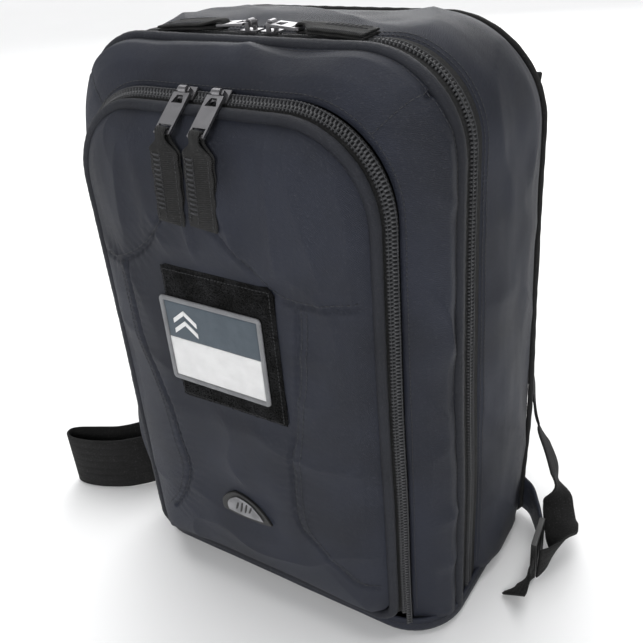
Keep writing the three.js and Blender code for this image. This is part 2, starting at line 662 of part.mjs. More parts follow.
buildShell();
buildLid();
buildPocket();
buildPatch();
buildSliders();
buildHandle();
buildStraps();
buildBelt();

export default bag;
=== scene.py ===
import math
import random

import bmesh
import bpy
from mathutils import Matrix, Vector, noise
from mathutils.bvhtree import BVHTree
from mathutils.kdtree import KDTree


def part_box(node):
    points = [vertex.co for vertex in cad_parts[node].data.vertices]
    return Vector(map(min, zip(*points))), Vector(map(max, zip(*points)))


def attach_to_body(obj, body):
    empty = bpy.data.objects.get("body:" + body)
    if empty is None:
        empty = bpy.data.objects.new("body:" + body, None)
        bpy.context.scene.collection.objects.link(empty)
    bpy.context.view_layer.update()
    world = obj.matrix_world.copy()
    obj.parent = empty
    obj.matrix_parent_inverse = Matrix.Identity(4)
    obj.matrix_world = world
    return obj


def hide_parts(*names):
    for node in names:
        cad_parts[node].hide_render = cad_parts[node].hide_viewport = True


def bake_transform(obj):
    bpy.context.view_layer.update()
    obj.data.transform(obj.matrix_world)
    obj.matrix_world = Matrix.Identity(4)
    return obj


# A small first-responder backpack standing on its base. Metres, front towards -Y.
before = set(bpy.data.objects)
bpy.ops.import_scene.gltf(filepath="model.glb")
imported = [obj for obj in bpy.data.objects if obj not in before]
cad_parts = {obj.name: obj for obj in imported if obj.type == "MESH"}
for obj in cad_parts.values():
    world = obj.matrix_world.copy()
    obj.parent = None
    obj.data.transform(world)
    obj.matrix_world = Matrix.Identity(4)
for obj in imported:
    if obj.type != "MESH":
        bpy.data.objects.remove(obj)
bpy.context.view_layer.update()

MM = 0.001
TURN = 2 * math.pi
UV_NAME = "cloth"  # holds metres across and along each piece's own cloth


# ------------------------------------------------------------------ camera, room and light

def vector(x, y, z):
    """A point given in millimetres."""
    return Vector((x * MM, y * MM, z * MM))


def make_camera():
    data = bpy.data.cameras.new("camera")
    data.sensor_width = 36
    data.lens = 46.09
    data.clip_start = 0.01
    camera = bpy.data.objects.new("camera", data)
    back = Vector((0.5, -0.7085, 0.498)).normalized()
    right = Vector((0.8396, 0.5375, -0.0782))
    right = (right - back * right.dot(back)).normalized()
    up = back.cross(right)
    turn = Matrix((right, up, back)).transposed().to_4x4()
    camera.matrix_world = Matrix.Translation(vector(290.08, -396.5, 466)) @ turn
    bpy.context.scene.collection.objects.link(camera)
    bpy.context.scene.camera = camera


def area_light(name, place, aim, size, power, colour=(1, 1, 1)):
    data = bpy.data.lights.new(name, "AREA")
    data.shape = "DISK"
    data.size = size
    data.energy = power
    data.color = colour
    light = bpy.data.objects.new(name, data)
    light.location = place
    light.rotation_euler = (Vector(aim) - Vector(place)).to_track_quat("-Z", "Y").to_euler()
    bpy.context.scene.collection.objects.link(light)


def make_room():
    """A pale floor that rises to a pale wall far away all round, and soft light from above."""
    profile = [(0.001, 0.0), (0.3, 0.0), (1.5, 0.0), (3.0, 0.0), (4.5, 0.0)]
    for i in range(1, 17):
        angle = 0.5 * math.pi * i / 16
        profile.append((4.5 + 1.5 * math.sin(angle), 1.5 * (1 - math.cos(angle))))
    rows = [[Vector((r * math.cos(TURN * k / 64), r * math.sin(TURN * k / 64), z)) for k in range(64)]
            for r, z in profile]
    floor = surface("floor", rows, wrap=True)
    floor.data.flip_normals()
    floor.location.z = -0.2 * MM
    floor.data.materials.append(room_paper())
    world = bpy.data.worlds.new("room")
    world.use_nodes = True
    world.node_tree.nodes["Background"].inputs["Color"].default_value = (0.97, 0.98, 1, 1)
    world.node_tree.nodes["Background"].inputs["Strength"].default_value = 0.36
    bpy.context.scene.world = world
    sky = bpy.data.lights.new("overhead_light", "SUN")
    sky.energy = 2.2
    sky.angle = math.radians(55)
    overhead = bpy.data.objects.new("overhead_light", sky)
    overhead.rotation_euler = (math.radians(-14), math.radians(-8), 0)
    bpy.context.scene.collection.objects.link(overhead)
    area_light("front_box", (0.55, -1.7, 1.0), (0, 0, 0.2), 0.7, 18)
    area_light("rear_box", (-0.7, 1.5, 1.1), (0, 0, 0.35), 1.6, 20)
    bpy.context.scene.view_settings.view_transform = "Standard"


# ------------------------------------------------------------------ node helpers

def add_node(tree, kind, **settings):
    node = tree.nodes.new(kind)
    for name, value in settings.items():
        setattr(node, name, value)
    return node


def feed(tree, value, socket):
    """Joins a socket to another, or sets it to a plain number or colour."""
    if isinstance(value, bpy.types.NodeSocket):
        tree.links.new(value, socket)
    else:
        socket.default_value = value


def calc(tree, operation, first, second=0.0, third=0.0):
    node = add_node(tree, "ShaderNodeMath", operation=operation)
    for value, socket in zip((first, second, third), node.inputs):
        feed(tree, value, socket)
    return node.outputs[0]


def blend_colour(tree, factor, first, second):
    node = add_node(tree, "ShaderNodeMix", data_type="RGBA")
    feed(tree, factor, node.inputs["Factor"])
    feed(tree, first, node.inputs[6])
    feed(tree, second, node.inputs[7])
    return node.outputs[2]


def bump(tree, height, distance, strength=1.0):
    node = add_node(tree, "ShaderNodeBump")
    node.inputs["Strength"].default_value = strength
    node.inputs["Distance"].default_value = distance
    feed(tree, height, node.inputs["Height"])
    return node.outputs["Normal"]


def ramp(tree, value, low, high):
    node = add_node(tree, "ShaderNodeMapRange", interpolation_type="SMOOTHSTEP")
    feed(tree, value, node.inputs["Value"])
    node.inputs["From Min"].default_value = low
    node.inputs["From Max"].default_value = high
    return node.outputs["Result"]


def start_group(name, inputs, outputs):
    tree = bpy.data.node_groups.new(name, "ShaderNodeTree")
    for label, value in inputs.items():
        kind = "NodeSocketVector" if value is None else "NodeSocketFloat"
        socket = tree.interface.new_socket(label, in_out="INPUT", socket_type=kind)
        if value is not None:
            socket.default_value = value
    for label in outputs:
        tree.interface.new_socket(label, in_out="OUTPUT", socket_type="NodeSocketFloat")
    return tree, add_node(tree, "NodeGroupInput").outputs, add_node(tree, "NodeGroupOutput").inputs


def use_group(tree, group, **values):
    node = add_node(tree, "ShaderNodeGroup", node_tree=group)
    for label, value in values.items():
        feed(tree, value, node.inputs[label])
    return node.outputs


def wave(tree, value, pitch):
    """A sine of a distance, between 0 and 1, that repeats at the pitch."""
    turns = calc(tree, "DIVIDE", value, pitch)
    sine = calc(tree, "SINE", calc(tree, "MULTIPLY", turns, TURN))
    return calc(tree, "MULTIPLY_ADD", sine, 0.5, 0.5)


# ------------------------------------------------------------------ shared effects

def twill_group():
    """Diagonal ribs crossed by single threads."""
    tree, given, out = start_group("twill_weave", {"Cloth": None, "Thread": 0.0005}, ["Height"])
    parts = add_node(tree, "ShaderNodeSeparateXYZ")
    feed(tree, given["Cloth"], parts.inputs[0])
    pitch = calc(tree, "MULTIPLY", given["Thread"], 2.0)
    slub = add_node(tree, "ShaderNodeTexNoise")
    feed(tree, given["Cloth"], slub.inputs["Vector"])
    slub.inputs["Scale"].default_value = 420
    drift = calc(tree, "MULTIPLY", slub.outputs[0], 0.003)
    slant = calc(tree, "ADD", calc(tree, "ADD", parts.outputs[0], parts.outputs[1]), drift)
    ribs = wave(tree, slant, pitch)
    threads = wave(tree, calc(tree, "SUBTRACT", parts.outputs[0], parts.outputs[1]), given["Thread"])
    feed(tree, calc(tree, "MULTIPLY_ADD", threads, 0.35, ribs), out["Height"])
    return tree


def herringbone_group():
    """Webbing: slanted ribs that turn back at every stripe, with a thin selvedge line between."""
    inputs = {"Cloth": None, "Stripe": 0.0035, "Rib": 0.0009}
    tree, given, out = start_group("herringbone_webbing", inputs, ["Height", "Line"])
    parts = add_node(tree, "ShaderNodeSeparateXYZ")
    feed(tree, given["Cloth"], parts.inputs[0])
    fold = calc(tree, "PINGPONG", parts.outputs[0], given["Stripe"])
    ribs = wave(tree, calc(tree, "MULTIPLY_ADD", fold, 0.8, parts.outputs[1]), given["Rib"])
    share = calc(tree, "DIVIDE", fold, given["Stripe"])
    line = calc(tree, "ABSOLUTE", calc(tree, "MULTIPLY_ADD", share, 2.0, -1.0))
    feed(tree, calc(tree, "MULTIPLY_ADD", line, -0.4, ribs), out["Height"])
    feed(tree, ramp(tree, line, 0.8, 1.0), out["Line"])
    return tree


def wear_group():
    """Faded patches, lint and rubbed high edges."""
    inputs = {"Place": None, "Patch Size": 0.06, "Lint": 0.5}
    tree, given, out = start_group("wear_and_lint", inputs, ["Fade", "Lint", "Edge"])
    broad = add_node(tree, "ShaderNodeTexNoise")
    feed(tree, given["Place"], broad.inputs["Vector"])
    feed(tree, calc(tree, "DIVIDE", 1.0, given["Patch Size"]), broad.inputs["Scale"])
    broad.inputs["Detail"].default_value = 5
    feed(tree, ramp(tree, broad.outputs[0], 0.3, 0.7), out["Fade"])
    fine = add_node(tree, "ShaderNodeTexNoise")
    feed(tree, given["Place"], fine.inputs["Vector"])
    fine.inputs["Scale"].default_value = 900
    fine.inputs["Detail"].default_value = 3
    specks = ramp(tree, fine.outputs[0], 0.55, 0.75)
    feed(tree, calc(tree, "MULTIPLY", specks, given["Lint"]), out["Lint"])
    shape = add_node(tree, "ShaderNodeNewGeometry")
    feed(tree, ramp(tree, shape.outputs["Pointiness"], 0.52, 0.62), out["Edge"])
    return tree


def grain_group():
    """The fine pebbled skin of moulded plastic and rubber."""
    tree, given, out = start_group("moulded_grain", {"Place": None, "Grain": 0.0006}, ["Height", "Patch"])
    cells = add_node(tree, "ShaderNodeTexVoronoi")
    feed(tree, given["Place"], cells.inputs["Vector"])
    feed(tree, calc(tree, "DIVIDE", 1.0, given["Grain"]), cells.inputs["Scale"])
    feed(tree, cells.outputs["Distance"], out["Height"])
    broad = add_node(tree, "ShaderNodeTexNoise")
    feed(tree, given["Place"], broad.inputs["Vector"])
    broad.inputs["Scale"].default_value = 70
    broad.inputs["Detail"].default_value = 4
    feed(tree, broad.outputs[0], out["Patch"])
    return tree


def spacer_group():
    """Open knit with staggered round holes."""
    tree, given, out = start_group("spacer_knit", {"Cloth": None, "Hole": 0.0034}, ["Height", "Hole"])
    parts = add_node(tree, "ShaderNodeSeparateXYZ")
    feed(tree, given["Cloth"], parts.inputs[0])
    row = calc(tree, "FLOOR", calc(tree, "DIVIDE", parts.outputs[1], given["Hole"]))
    shift = calc(tree, "MULTIPLY", calc(tree, "MODULO", row, 2.0), calc(tree, "MULTIPLY", given["Hole"], 0.5))
    across = wave(tree, calc(tree, "ADD", parts.outputs[0], shift), given["Hole"])
    along = wave(tree, parts.outputs[1], given["Hole"])
    hole = ramp(tree, calc(tree, "MULTIPLY", across, along), 0.35, 0.7)
    feed(tree, hole, out["Hole"])
    feed(tree, calc(tree, "SUBTRACT", 1.0, hole), out["Height"])
    return tree


def satin_group():
    """Embroidery: close parallel threads."""
    tree, given, out = start_group("satin_stitch", {"Cloth": None, "Thread": 0.0005}, ["Height"])
    parts = add_node(tree, "ShaderNodeSeparateXYZ")
    feed(tree, given["Cloth"], parts.inputs[0])
    wander = add_node(tree, "ShaderNodeTexNoise")
    feed(tree, given["Cloth"], wander.inputs["Vector"])
    wander.inputs["Scale"].default_value = 260
    drift = calc(tree, "MULTIPLY", wander.outputs[0], 0.0006)
    feed(tree, wave(tree, calc(tree, "ADD", parts.outputs[1], drift), given["Thread"]), out["Height"])
    return tree


TWILL = twill_group()
HERRINGBONE = herringbone_group()
WEAR = wear_group()
GRAIN = grain_group()
SPACER = spacer_group()
SATIN = satin_group()


# ------------------------------------------------------------------ materials

def grey(value, blue=0.0):
    return (value, value * (1 + 0.2 * blue), value * (1 + blue), 1)


def start_material(name, colour, roughness, metallic=0.0, sheen=0.0, sheen_tint=0.6, specular=0.5):
    material = bpy.data.materials.new(name)
    material.use_nodes = True
    tree = material.node_tree
    shader = tree.nodes["Principled BSDF"]
    shader.inputs["Base Color"].default_value = colour
    shader.inputs["Roughness"].default_value = roughness
    shader.inputs["Metallic"].default_value = metallic
    shader.inputs["Sheen Weight"].default_value = sheen
    shader.inputs["Sheen Roughness"].default_value = 0.45
    shader.inputs["Sheen Tint"].default_value = (sheen_tint, sheen_tint, sheen_tint, 1)
    shader.inputs["Specular IOR Level"].default_value = specular
    cloth = add_node(tree, "ShaderNodeUVMap", uv_map=UV_NAME).outputs["UV"]
    place = add_node(tree, "ShaderNodeTexCoord").outputs["Object"]
    return material, tree, shader, cloth, place


def worn_colour(tree, place, colour, faded, lint=0.4, patch=0.06, edge=0.5):
    """The base colour with faded patches, lint and lighter edges over it."""
    wear = use_group(tree, WEAR, Place=place, Lint=lint, **{"Patch Size": patch})
    first = blend_colour(tree, wear["Fade"], colour, faded)
    second = blend_colour(tree, calc(tree, "MULTIPLY", wear["Lint"], 0.35), first, grey(0.2))
    return blend_colour(tree, calc(tree, "MULTIPLY", wear["Edge"], edge), second,
                        [c * 1.7 for c in faded[:3]] + [1])


def woven_material(name, colour, faded, thread, depth, roughness=0.6, sheen=0.03):
    material, tree, shader, cloth, place = start_material(name, colour, roughness, sheen=sheen, specular=0.24)
    weave = use_group(tree, TWILL, Cloth=cloth, Thread=thread)["Height"]
    worn = worn_colour(tree, place, colour, faded, lint=0.22, edge=0.3)
    gaps = calc(tree, "MULTIPLY", ramp(tree, weave, 0.6, 0.1), 0.45)
    feed(tree, blend_colour(tree, gaps, worn, grey(0.006)), shader.inputs["Base Color"])
    feed(tree, calc(tree, "MULTIPLY_ADD", weave, -0.1, roughness + 0.05), shader.inputs["Roughness"])
    feed(tree, bump(tree, weave, depth), shader.inputs["Normal"])
    return material


def webbing_material(name, colour, faded, stripe=0.0035, rib=0.0009, depth=0.0003):
    material, tree, shader, cloth, place = start_material(name, colour, 0.78, sheen=0.02, specular=0.22)
    weave = use_group(tree, HERRINGBONE, Cloth=cloth, Stripe=stripe, Rib=rib)
    worn = worn_colour(tree, place, colour, faded, lint=0.6, patch=0.02)
    gaps = calc(tree, "MULTIPLY", ramp(tree, weave["Height"], 0.5, 0.0), 0.6)
    feed(tree, blend_colour(tree, gaps, worn, grey(0.003)), shader.inputs["Base Color"])
    feed(tree, bump(tree, weave["Height"], depth), shader.inputs["Normal"])
    return material


def moulded_material(name, colour, faded, roughness, grain=0.0006):
    material, tree, shader, _, place = start_material(name, colour, roughness)
    skin = use_group(tree, GRAIN, Place=place, Grain=grain)
    feed(tree, worn_colour(tree, place, colour, faded, lint=0.3, patch=0.012), shader.inputs["Base Color"])
    feed(tree, calc(tree, "MULTIPLY_ADD", skin["Patch"], 0.25, roughness - 0.1), shader.inputs["Roughness"])
    feed(tree, bump(tree, skin["Height"], 0.00006, 0.6), shader.inputs["Normal"])
    return material


def metal_material(name, colour, roughness):
    """Satin plated zinc, with rubbed patches and fine scratches."""
    material, tree, shader, _, place = start_material(name, colour, roughness, metallic=1.0)
    skin = use_group(tree, GRAIN, Place=place, Grain=0.0012)
    scratches = add_node(tree, "ShaderNodeTexNoise")
    stretch = add_node(tree, "ShaderNodeMapping")
    stretch.inputs["Scale"].default_value = (2600, 2600, 160)
    feed(tree, place, stretch.inputs["Vector"])
    feed(tree, stretch.outputs[0], scratches.inputs["Vector"])
    scratches.inputs["Scale"].default_value = 1
    feed(tree, calc(tree, "MULTIPLY_ADD", skin["Patch"], 0.3, roughness - 0.12), shader.inputs["Roughness"])
    dull = [c * 0.62 for c in colour[:3]] + [1]
    feed(tree, blend_colour(tree, ramp(tree, skin["Patch"], 0.45, 0.75), colour, dull),
         shader.inputs["Base Color"])
    feed(tree, bump(tree, scratches.outputs[0], 0.00003, 0.5), shader.inputs["Normal"])
    return material


def knit_material(name):
    material, tree, shader, cloth, place = start_material(name, grey(0.02), 0.9, sheen=0.1)
    knit = use_group(tree, SPACER, Cloth=cloth)
    worn = worn_colour(tree, place, grey(0.024, 0.1), grey(0.034, 0.1))
    feed(tree, blend_colour(tree, knit["Hole"], worn, grey(0.002)), shader.inputs["Base Color"])
    feed(tree, bump(tree, knit["Height"], 0.0009), shader.inputs["Normal"])
    return material


def pile_material(name):
    """Loop pile: a matt, mottled nap."""
    material, tree, shader, _, place = start_material(name, grey(0.006), 0.95, sheen=0.04, specular=0.1)
    skin = use_group(tree, GRAIN, Place=place, Grain=0.0011)
    mottled = blend_colour(tree, ramp(tree, skin["Patch"], 0.35, 0.7), grey(0.004), grey(0.016, 0.1))
    tufts = calc(tree, "MULTIPLY", ramp(tree, skin["Height"], 0.2, 0.6), 0.5)
    feed(tree, blend_colour(tree, tufts, mottled, grey(0.002)), shader.inputs["Base Color"])
    feed(tree, bump(tree, skin["Height"], 0.0008), shader.inputs["Normal"])
    return material


def thread_material(name, colour, faded, pitch=0.0005):
    material, tree, shader, cloth, place = start_material(name, colour, 0.6, sheen=0.08)
    rows = use_group(tree, SATIN, Cloth=cloth, Thread=pitch)["Height"]
    worn = worn_colour(tree, place, colour, faded, lint=0.1, patch=0.01, edge=0.1)
    dark = [c * 0.55 for c in colour[:3]] + [1]
    feed(tree, blend_colour(tree, calc(tree, "MULTIPLY", ramp(tree, rows, 0.45, 0.05), 0.6), worn, dark),
         shader.inputs["Base Color"])
    feed(tree, bump(tree, rows, 0.00018), shader.inputs["Normal"])
    return material


def room_paper():
    material, tree, shader, _, place = start_material("room_paper", grey(0.86), 0.9)
    fleck = add_node(tree, "ShaderNodeTexNoise")
    feed(tree, place, fleck.inputs["Vector"])
    fleck.inputs["Scale"].default_value = 3
    feed(tree, blend_colour(tree, fleck.outputs[0], grey(0.85), grey(0.88)), shader.inputs["Base Color"])
    return material


BAG_CLOTH = woven_material("bag_cloth", grey(0.0095, 0.9), grey(0.0165, 0.9), 0.00055, 0.00012)
LINING = woven_material("lining_cloth", grey(0.014, 0.1), grey(0.02, 0.1), 0.0004, 0.0001)
PIPING_CLOTH = woven_material("piping_cloth", grey(0.009, 0.6), grey(0.014, 0.6), 0.0005, 0.00012)
BINDING = webbing_material("binding_tape", grey(0.012), grey(0.018), stripe=0.0012, rib=0.0007, depth=0.0002)
WEBBING = webbing_material("strap_webbing", grey(0.006), grey(0.01))
PULL_WEBBING = webbing_material("pull_webbing", grey(0.012), grey(0.02), stripe=0.0023, rib=0.0011)
ZIP_TAPE = webbing_material("zip_tape", grey(0.01), grey(0.015), stripe=0.0009, rib=0.0006, depth=0.00015)
ZIP_TEETH = moulded_material("zip_coil", grey(0.018, 0.1), grey(0.03, 0.1), 0.45, grain=0.0004)
THREAD = thread_material("sewing_thread", grey(0.026, 0.15), grey(0.038, 0.15))
SPACER_MESH = knit_material("spacer_knit")
LOOP_PILE = pile_material("loop_pile")
SLATE = thread_material("slate_embroidery", (0.052, 0.071, 0.09, 1), (0.068, 0.09, 0.112, 1), 0.0006)
WHITE_THREAD = thread_material("white_embroidery", grey(0.72), grey(0.8), 0.0006)
BORDER_THREAD = thread_material("border_thread", grey(0.27, 0.06), grey(0.34, 0.06), 0.0004)
METAL = metal_material("satin_nickel", (0.3, 0.295, 0.305, 1), 0.34)
SILVER = metal_material("badge_silver", (0.3, 0.3, 0.31, 1), 0.42)
RUBBER = moulded_material("badge_rubber", grey(0.008), grey(0.014), 0.55)
PLASTIC = moulded_material("buckle_plastic", grey(0.006), grey(0.012), 0.42, grain=0.0008)
BOARD = moulded_material("stiffener_board", grey(0.012), grey(0.02), 0.6, grain=0.002)


# ------------------------------------------------------------------ meshes

def running_length(points):
    total = [0.0]
    for before, after in zip(points, points[1:]):
        total.append(total[-1] + (after - before).length)
    return total


def surface(name, rows, wrap=False, ends=False, inside=None):
    """A smooth skin through rows of points. wrap joins the last column to the first, and ends closes both
    end rows. Its faces point away from the inside point."""
    count = len(rows[0])
    spans = count if wrap else count - 1
    middle = rows[len(rows) // 2]
    across = running_length(middle + middle[:1] if wrap else middle)
    along = running_length([row[count // 2] for row in rows])
    faces = []
    places = []
    for i in range(len(rows) - 1):
        for j in range(spans):
            k = (j + 1) % count
            faces.append((i * count + j, i * count + k, (i + 1) * count + k, (i + 1) * count + j))
            places += [(across[j], along[i]), (across[j + 1], along[i])]
            places += [(across[j + 1], along[i + 1]), (across[j], along[i + 1])]
    if ends:
        last = (len(rows) - 1) * count
        for ring, height in ((range(count - 1, -1, -1), along[0]), (range(last, last + count), along[-1])):
            faces.append(tuple(ring))
            places += [(across[r % count], height) for r in ring]
    mesh = bpy.data.meshes.new(name)
    mesh.from_pydata([tuple(p) for row in rows for p in row], [], faces)
    layer = mesh.uv_layers.new(name=UV_NAME)
    for loop, place in zip(layer.data, places):
        loop.uv = place
    if ends:
        tidy = bmesh.new()
        tidy.from_mesh(mesh)
        bmesh.ops.recalc_face_normals(tidy, faces=tidy.faces)
        tidy.to_mesh(mesh)
        tidy.free()
    elif inside is not None:
        facing = sum((f.center - inside).dot(f.normal) for f in mesh.polygons)
        if facing < 0:
            mesh.flip_normals()
    for face in mesh.polygons:
        face.use_smooth = True
    piece = bpy.data.objects.new(name, mesh)
    bpy.context.scene.collection.objects.link(piece)
    return piece


def many(name, make_rings):
    """One mesh of many small closed lofts, each given as a list of rings of points."""
    points = []
    faces = []
    places = []
    for rings in make_rings:
        start = len(points)
        count = len(rings[0])
        for ring in rings:
            points += [tuple(p) for p in ring]
        for i in range(len(rings) - 1):
            for j in range(count):
                k = (j + 1) % count
                base = start + i * count
                faces.append((base + j, base + k, base + count + k, base + count + j))
                places += [(j * MM, i * MM), (j * MM + MM, i * MM), (j * MM + MM, i * MM + MM),
                           (j * MM, i * MM + MM)]
        last = start + (len(rings) - 1) * count
        faces.append(tuple(range(start + count - 1, start - 1, -1)))
        faces.append(tuple(range(last, last + count)))
        places += [(0, 0)] * (2 * count)
    mesh = bpy.data.meshes.new(name)
    mesh.from_pydata(points, [], faces)
    layer = mesh.uv_layers.new(name=UV_NAME)
    for loop, place in zip(layer.data, places):
        loop.uv = place
    tidy = bmesh.new()
    tidy.from_mesh(mesh)
    bmesh.ops.recalc_face_normals(tidy, faces=tidy.faces)
    tidy.to_mesh(mesh)
    tidy.free()
    for face in mesh.polygons:
        face.use_smooth = True
    piece = bpy.data.objects.new(name, mesh)
    bpy.context.scene.collection.objects.link(piece)
    return piece


def attach(piece, material, body, slot, *nodes):
    """Finishes a piece: its material, the body it moves with and the CAD nodes it stands for. The slot is not
    used.
    """
    piece.data.materials.append(material)
    if body is not None:
        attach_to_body(piece, body)
    if nodes:
        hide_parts(*nodes)
    return piece


def thicken(piece, thickness):
    """Gives a skin its thickness on its inner side."""
    wall = piece.modifiers.new("thickness", "SOLIDIFY")
    wall.thickness = thickness
    wall.offset = -1
    wall.use_even_offset = False


def smooth_line(points, step):
    """Points at an even step along a smooth curve through the given ones."""
    ends = [points[0] * 2 - points[1]] + list(points) + [points[-1] * 2 - points[-2]]
    dense = []
    for a, b, c, d in zip(ends, ends[1:], ends[2:], ends[3:]):
        parts = max(2, math.ceil((c - b).length / step * 3))
        for i in range(parts):
            t = i / parts
            curve = b * 2 + (c - a) * t + (a * 2 - b * 5 + c * 4 - d) * t * t + (b * 3 - a - c * 3
                                                                                 + d) * t ** 3
            dense.append(curve * 0.5)
    dense.append(points[-1].copy())
    lengths = running_length(dense)
    count = max(1, round(lengths[-1] / step))
    even = []
    k = 0
    for i in range(count + 1):
        goal = lengths[-1] * i / count
        while k < len(lengths) - 2 and lengths[k + 1] < goal:
            k += 1
        span = max(lengths[k + 1] - lengths[k], 1e-9)
        even.append(dense[k].lerp(dense[k + 1], min(1, (goal - lengths[k]) / span)))
    return even


def directions(line):
    count = len(line) - 1
    return [(line[min(count, i + 1)] - line[max(0, i - 1)]).normalized() for i in range(count + 1)]


def tube(name, line, radius, sides=12, swell=None):
    """A round cord along a line. swell(i) scales its radius along the way."""
    rings = []
    normal = None
    for i, (point, along) in enumerate(zip(line, directions(line))):
        if normal is None:
            normal = along.orthogonal().normalized()
        normal = (normal - along * normal.dot(along)).normalized()
        other = along.cross(normal)
        size = radius * (swell(i) if swell else 1)
        ring = [point + (normal * math.cos(TURN * k / sides) + other * math.sin(TURN * k / sides)) * size
                for k in range(sides)]
        rings.append(ring)
    return surface(name, rings, wrap=True, ends=True)


def ribbon(name, stations, width, thickness, step=2.5 * MM, edge=0.35):
    """Webbing with soft edges along stations of (place, direction of its width), in millimetres."""
    places = [vector(*place) for place, _ in stations]
    line = smooth_line(places, step)
    lengths = running_length(places)
    sides = [Vector(side).normalized() for _, side in stations]
    total = running_length(line)[-1]
    rings = []
    for i, (point, along) in enumerate(zip(line, directions(line))):
        share = i / (len(line) - 1)
        goal = share * lengths[-1]
        k = max(j for j in range(len(lengths) - 1) if lengths[j] <= goal or j == 0)
        local = min(1, max(0, (goal - lengths[k]) / (lengths[k + 1] - lengths[k])))
        local = local * local * (3 - 2 * local)
        side = sides[k].lerp(sides[k + 1], local)
        side = (side - along * side.dot(along)).normalized()
        out = along.cross(side)
        half = 0.5 * (width(share) if callable(width) else width)
        ripple = 0.12 * thickness * noise.noise(Vector((share * total * 60, half * 900, len(stations))))
        top = [(-1, 0), (-1 + edge * thickness / half, 0.5), (-0.5, 0.5), (0, 0.5), (0.5, 0.5),
               (1 - edge * thickness / half, 0.5), (1, 0), (1 - edge * thickness / half, -0.5), (0.5, -0.5),
               (0, -0.5), (-0.5, -0.5), (-1 + edge * thickness / half, -0.5)]
        rings.append([point + side * half * a + out * (thickness * b + ripple) for a, b in top])
    return surface(name, rings, wrap=True, ends=True)


def surface_tree(*pieces):
    """One searchable surface from the meshes of some pieces, modifiers left out."""
    points = []
    faces = []
    for piece in pieces:
        start = len(points)
        points += [v.co.copy() for v in piece.data.vertices]
        faces += [[start + k for k in face.vertices] for face in piece.data.polygons]
    return BVHTree.FromPolygons(points, faces)


def stitch(start, end, normal, gauge):
    """Rings of one thread that rises out of the cloth and goes back into it."""
    along = (end - start).normalized()
    side = along.cross(normal).normalized()
    rings = []
    for share, lift in ((0, -0.5), (0.12, 0.25), (0.5, 0.6), (0.88, 0.25), (1, -0.5)):
        centre = start.lerp(end, share) + normal * gauge * lift
        rings.append([centre + (side * math.cos(TURN * k / 5) + normal * math.sin(TURN * k / 5)) * gauge * 0.5
                      for k in range(5)])
    return rings


def sewn_rows(name, tree, lines, pitch=3.0 * MM, gauge=0.45 * MM, share=0.74):
    """Rows of stitches laid on a surface. Each line is a list of points close to it."""
    threads = []
    for line in lines:
        even = smooth_line(line, pitch)
        for first, second in zip(even, even[1:]):
            start, normal, _, _ = tree.find_nearest(first)
            end, _, _, _ = tree.find_nearest(first.lerp(second, share))
            if (end - start).length > pitch * 0.3:
                threads.append(stitch(start, end, normal, gauge))
    return many(name, threads)


class Seams:
    """Sewn seams that press a groove into the cloth and pucker it on both sides."""

    def __init__(self, lines):
        self.points = [p for line in lines for p in smooth_line(line, 1.0 * MM)]
        self.tree = KDTree(len(self.points))
        for i, point in enumerate(self.points):
            self.tree.insert(point, i)
        self.tree.balance()

    def depth(self, point, groove=0.0021, width=0.0014, pucker=0.0003, reach=0.007, pitch=0.0065):
        _, index, distance = self.tree.find(point)
        ripple = math.sin(TURN * index * MM / pitch + 3 * noise.noise(point * 60))
        fold = pucker * ripple * math.exp(-distance / reach)
        return -groove * math.exp(-(distance / width) ** 2) + fold


# ------------------------------------------------------------------ outlines taken from the frame

def arch(half, top, corner, foot, sides=70, corners=26, across=44):
    """Points (x, z) and outward directions along an upside-down U, from its left foot over the top."""
    line = []
    rise = top - corner - foot
    for i in range(sides):
        line.append((-half, foot + rise * i / sides, -1, 0))
    for i in range(corners):
        angle = math.pi - 0.5 * math.pi * i / corners
        line.append((corner - half + corner * math.cos(angle), top - corner + corner * math.sin(angle),
                     math.cos(angle), math.sin(angle)))
    for i in range(across):
        line.append((corner - half + 2 * (half - corner) * i / across, top, 0, 1))
    for i in range(corners):
        angle = 0.5 * math.pi * (1 - i / corners)
        line.append((half - corner + corner * math.cos(angle), top - corner + corner * math.sin(angle),
                     math.cos(angle), math.sin(angle)))
    for i in range(sides + 1):
        line.append((half, top - corner - rise * i / sides, 1, 0))
    return line


def ridges(x, y, z):
    """Narrow rounded folds with broad hollows between them, from 0 to 1."""
    return max(0, 1 - 2.6 * abs(noise.noise(Vector((x, y, z))))) ** 2


def slump(point):
    """The whole bag leans and sags a little; nothing moves near the sliders at the top."""
    low = 1 - min(1, max(0, (point.z - 0.15) / 0.2))
    wave_x = noise.noise(Vector((point.z * 9, point.y * 6, 1.7)))
    wave_z = noise.noise(Vector((point.x * 9, point.y * 6, 5.2)))
    side = math.copysign(min(1, abs(point.x) / 0.1) ** 2, point.x)
    steady = min(1, max(0, (abs(point.x) - 0.05) / 0.05))
    return point + Vector((side * 0.0016 * wave_x * (0.4 + low), 0, 0.0012 * wave_z * steady * (1 - low)))


def cloth_folds(point, amount, stretch=(1, 1, 1), seed=0.0):
    """Soft dents and folds: broad ones with smaller ones on them."""
    place = Vector((point.x * stretch[0], point.y * stretch[1], point.z * stretch[2]))
    broad = noise.noise(place * 16 + Vector((seed, 0, 0)))
    fine = noise.noise(place * 48 + Vector((0, seed, 0)))
    return amount * (broad + 0.3 * fine)


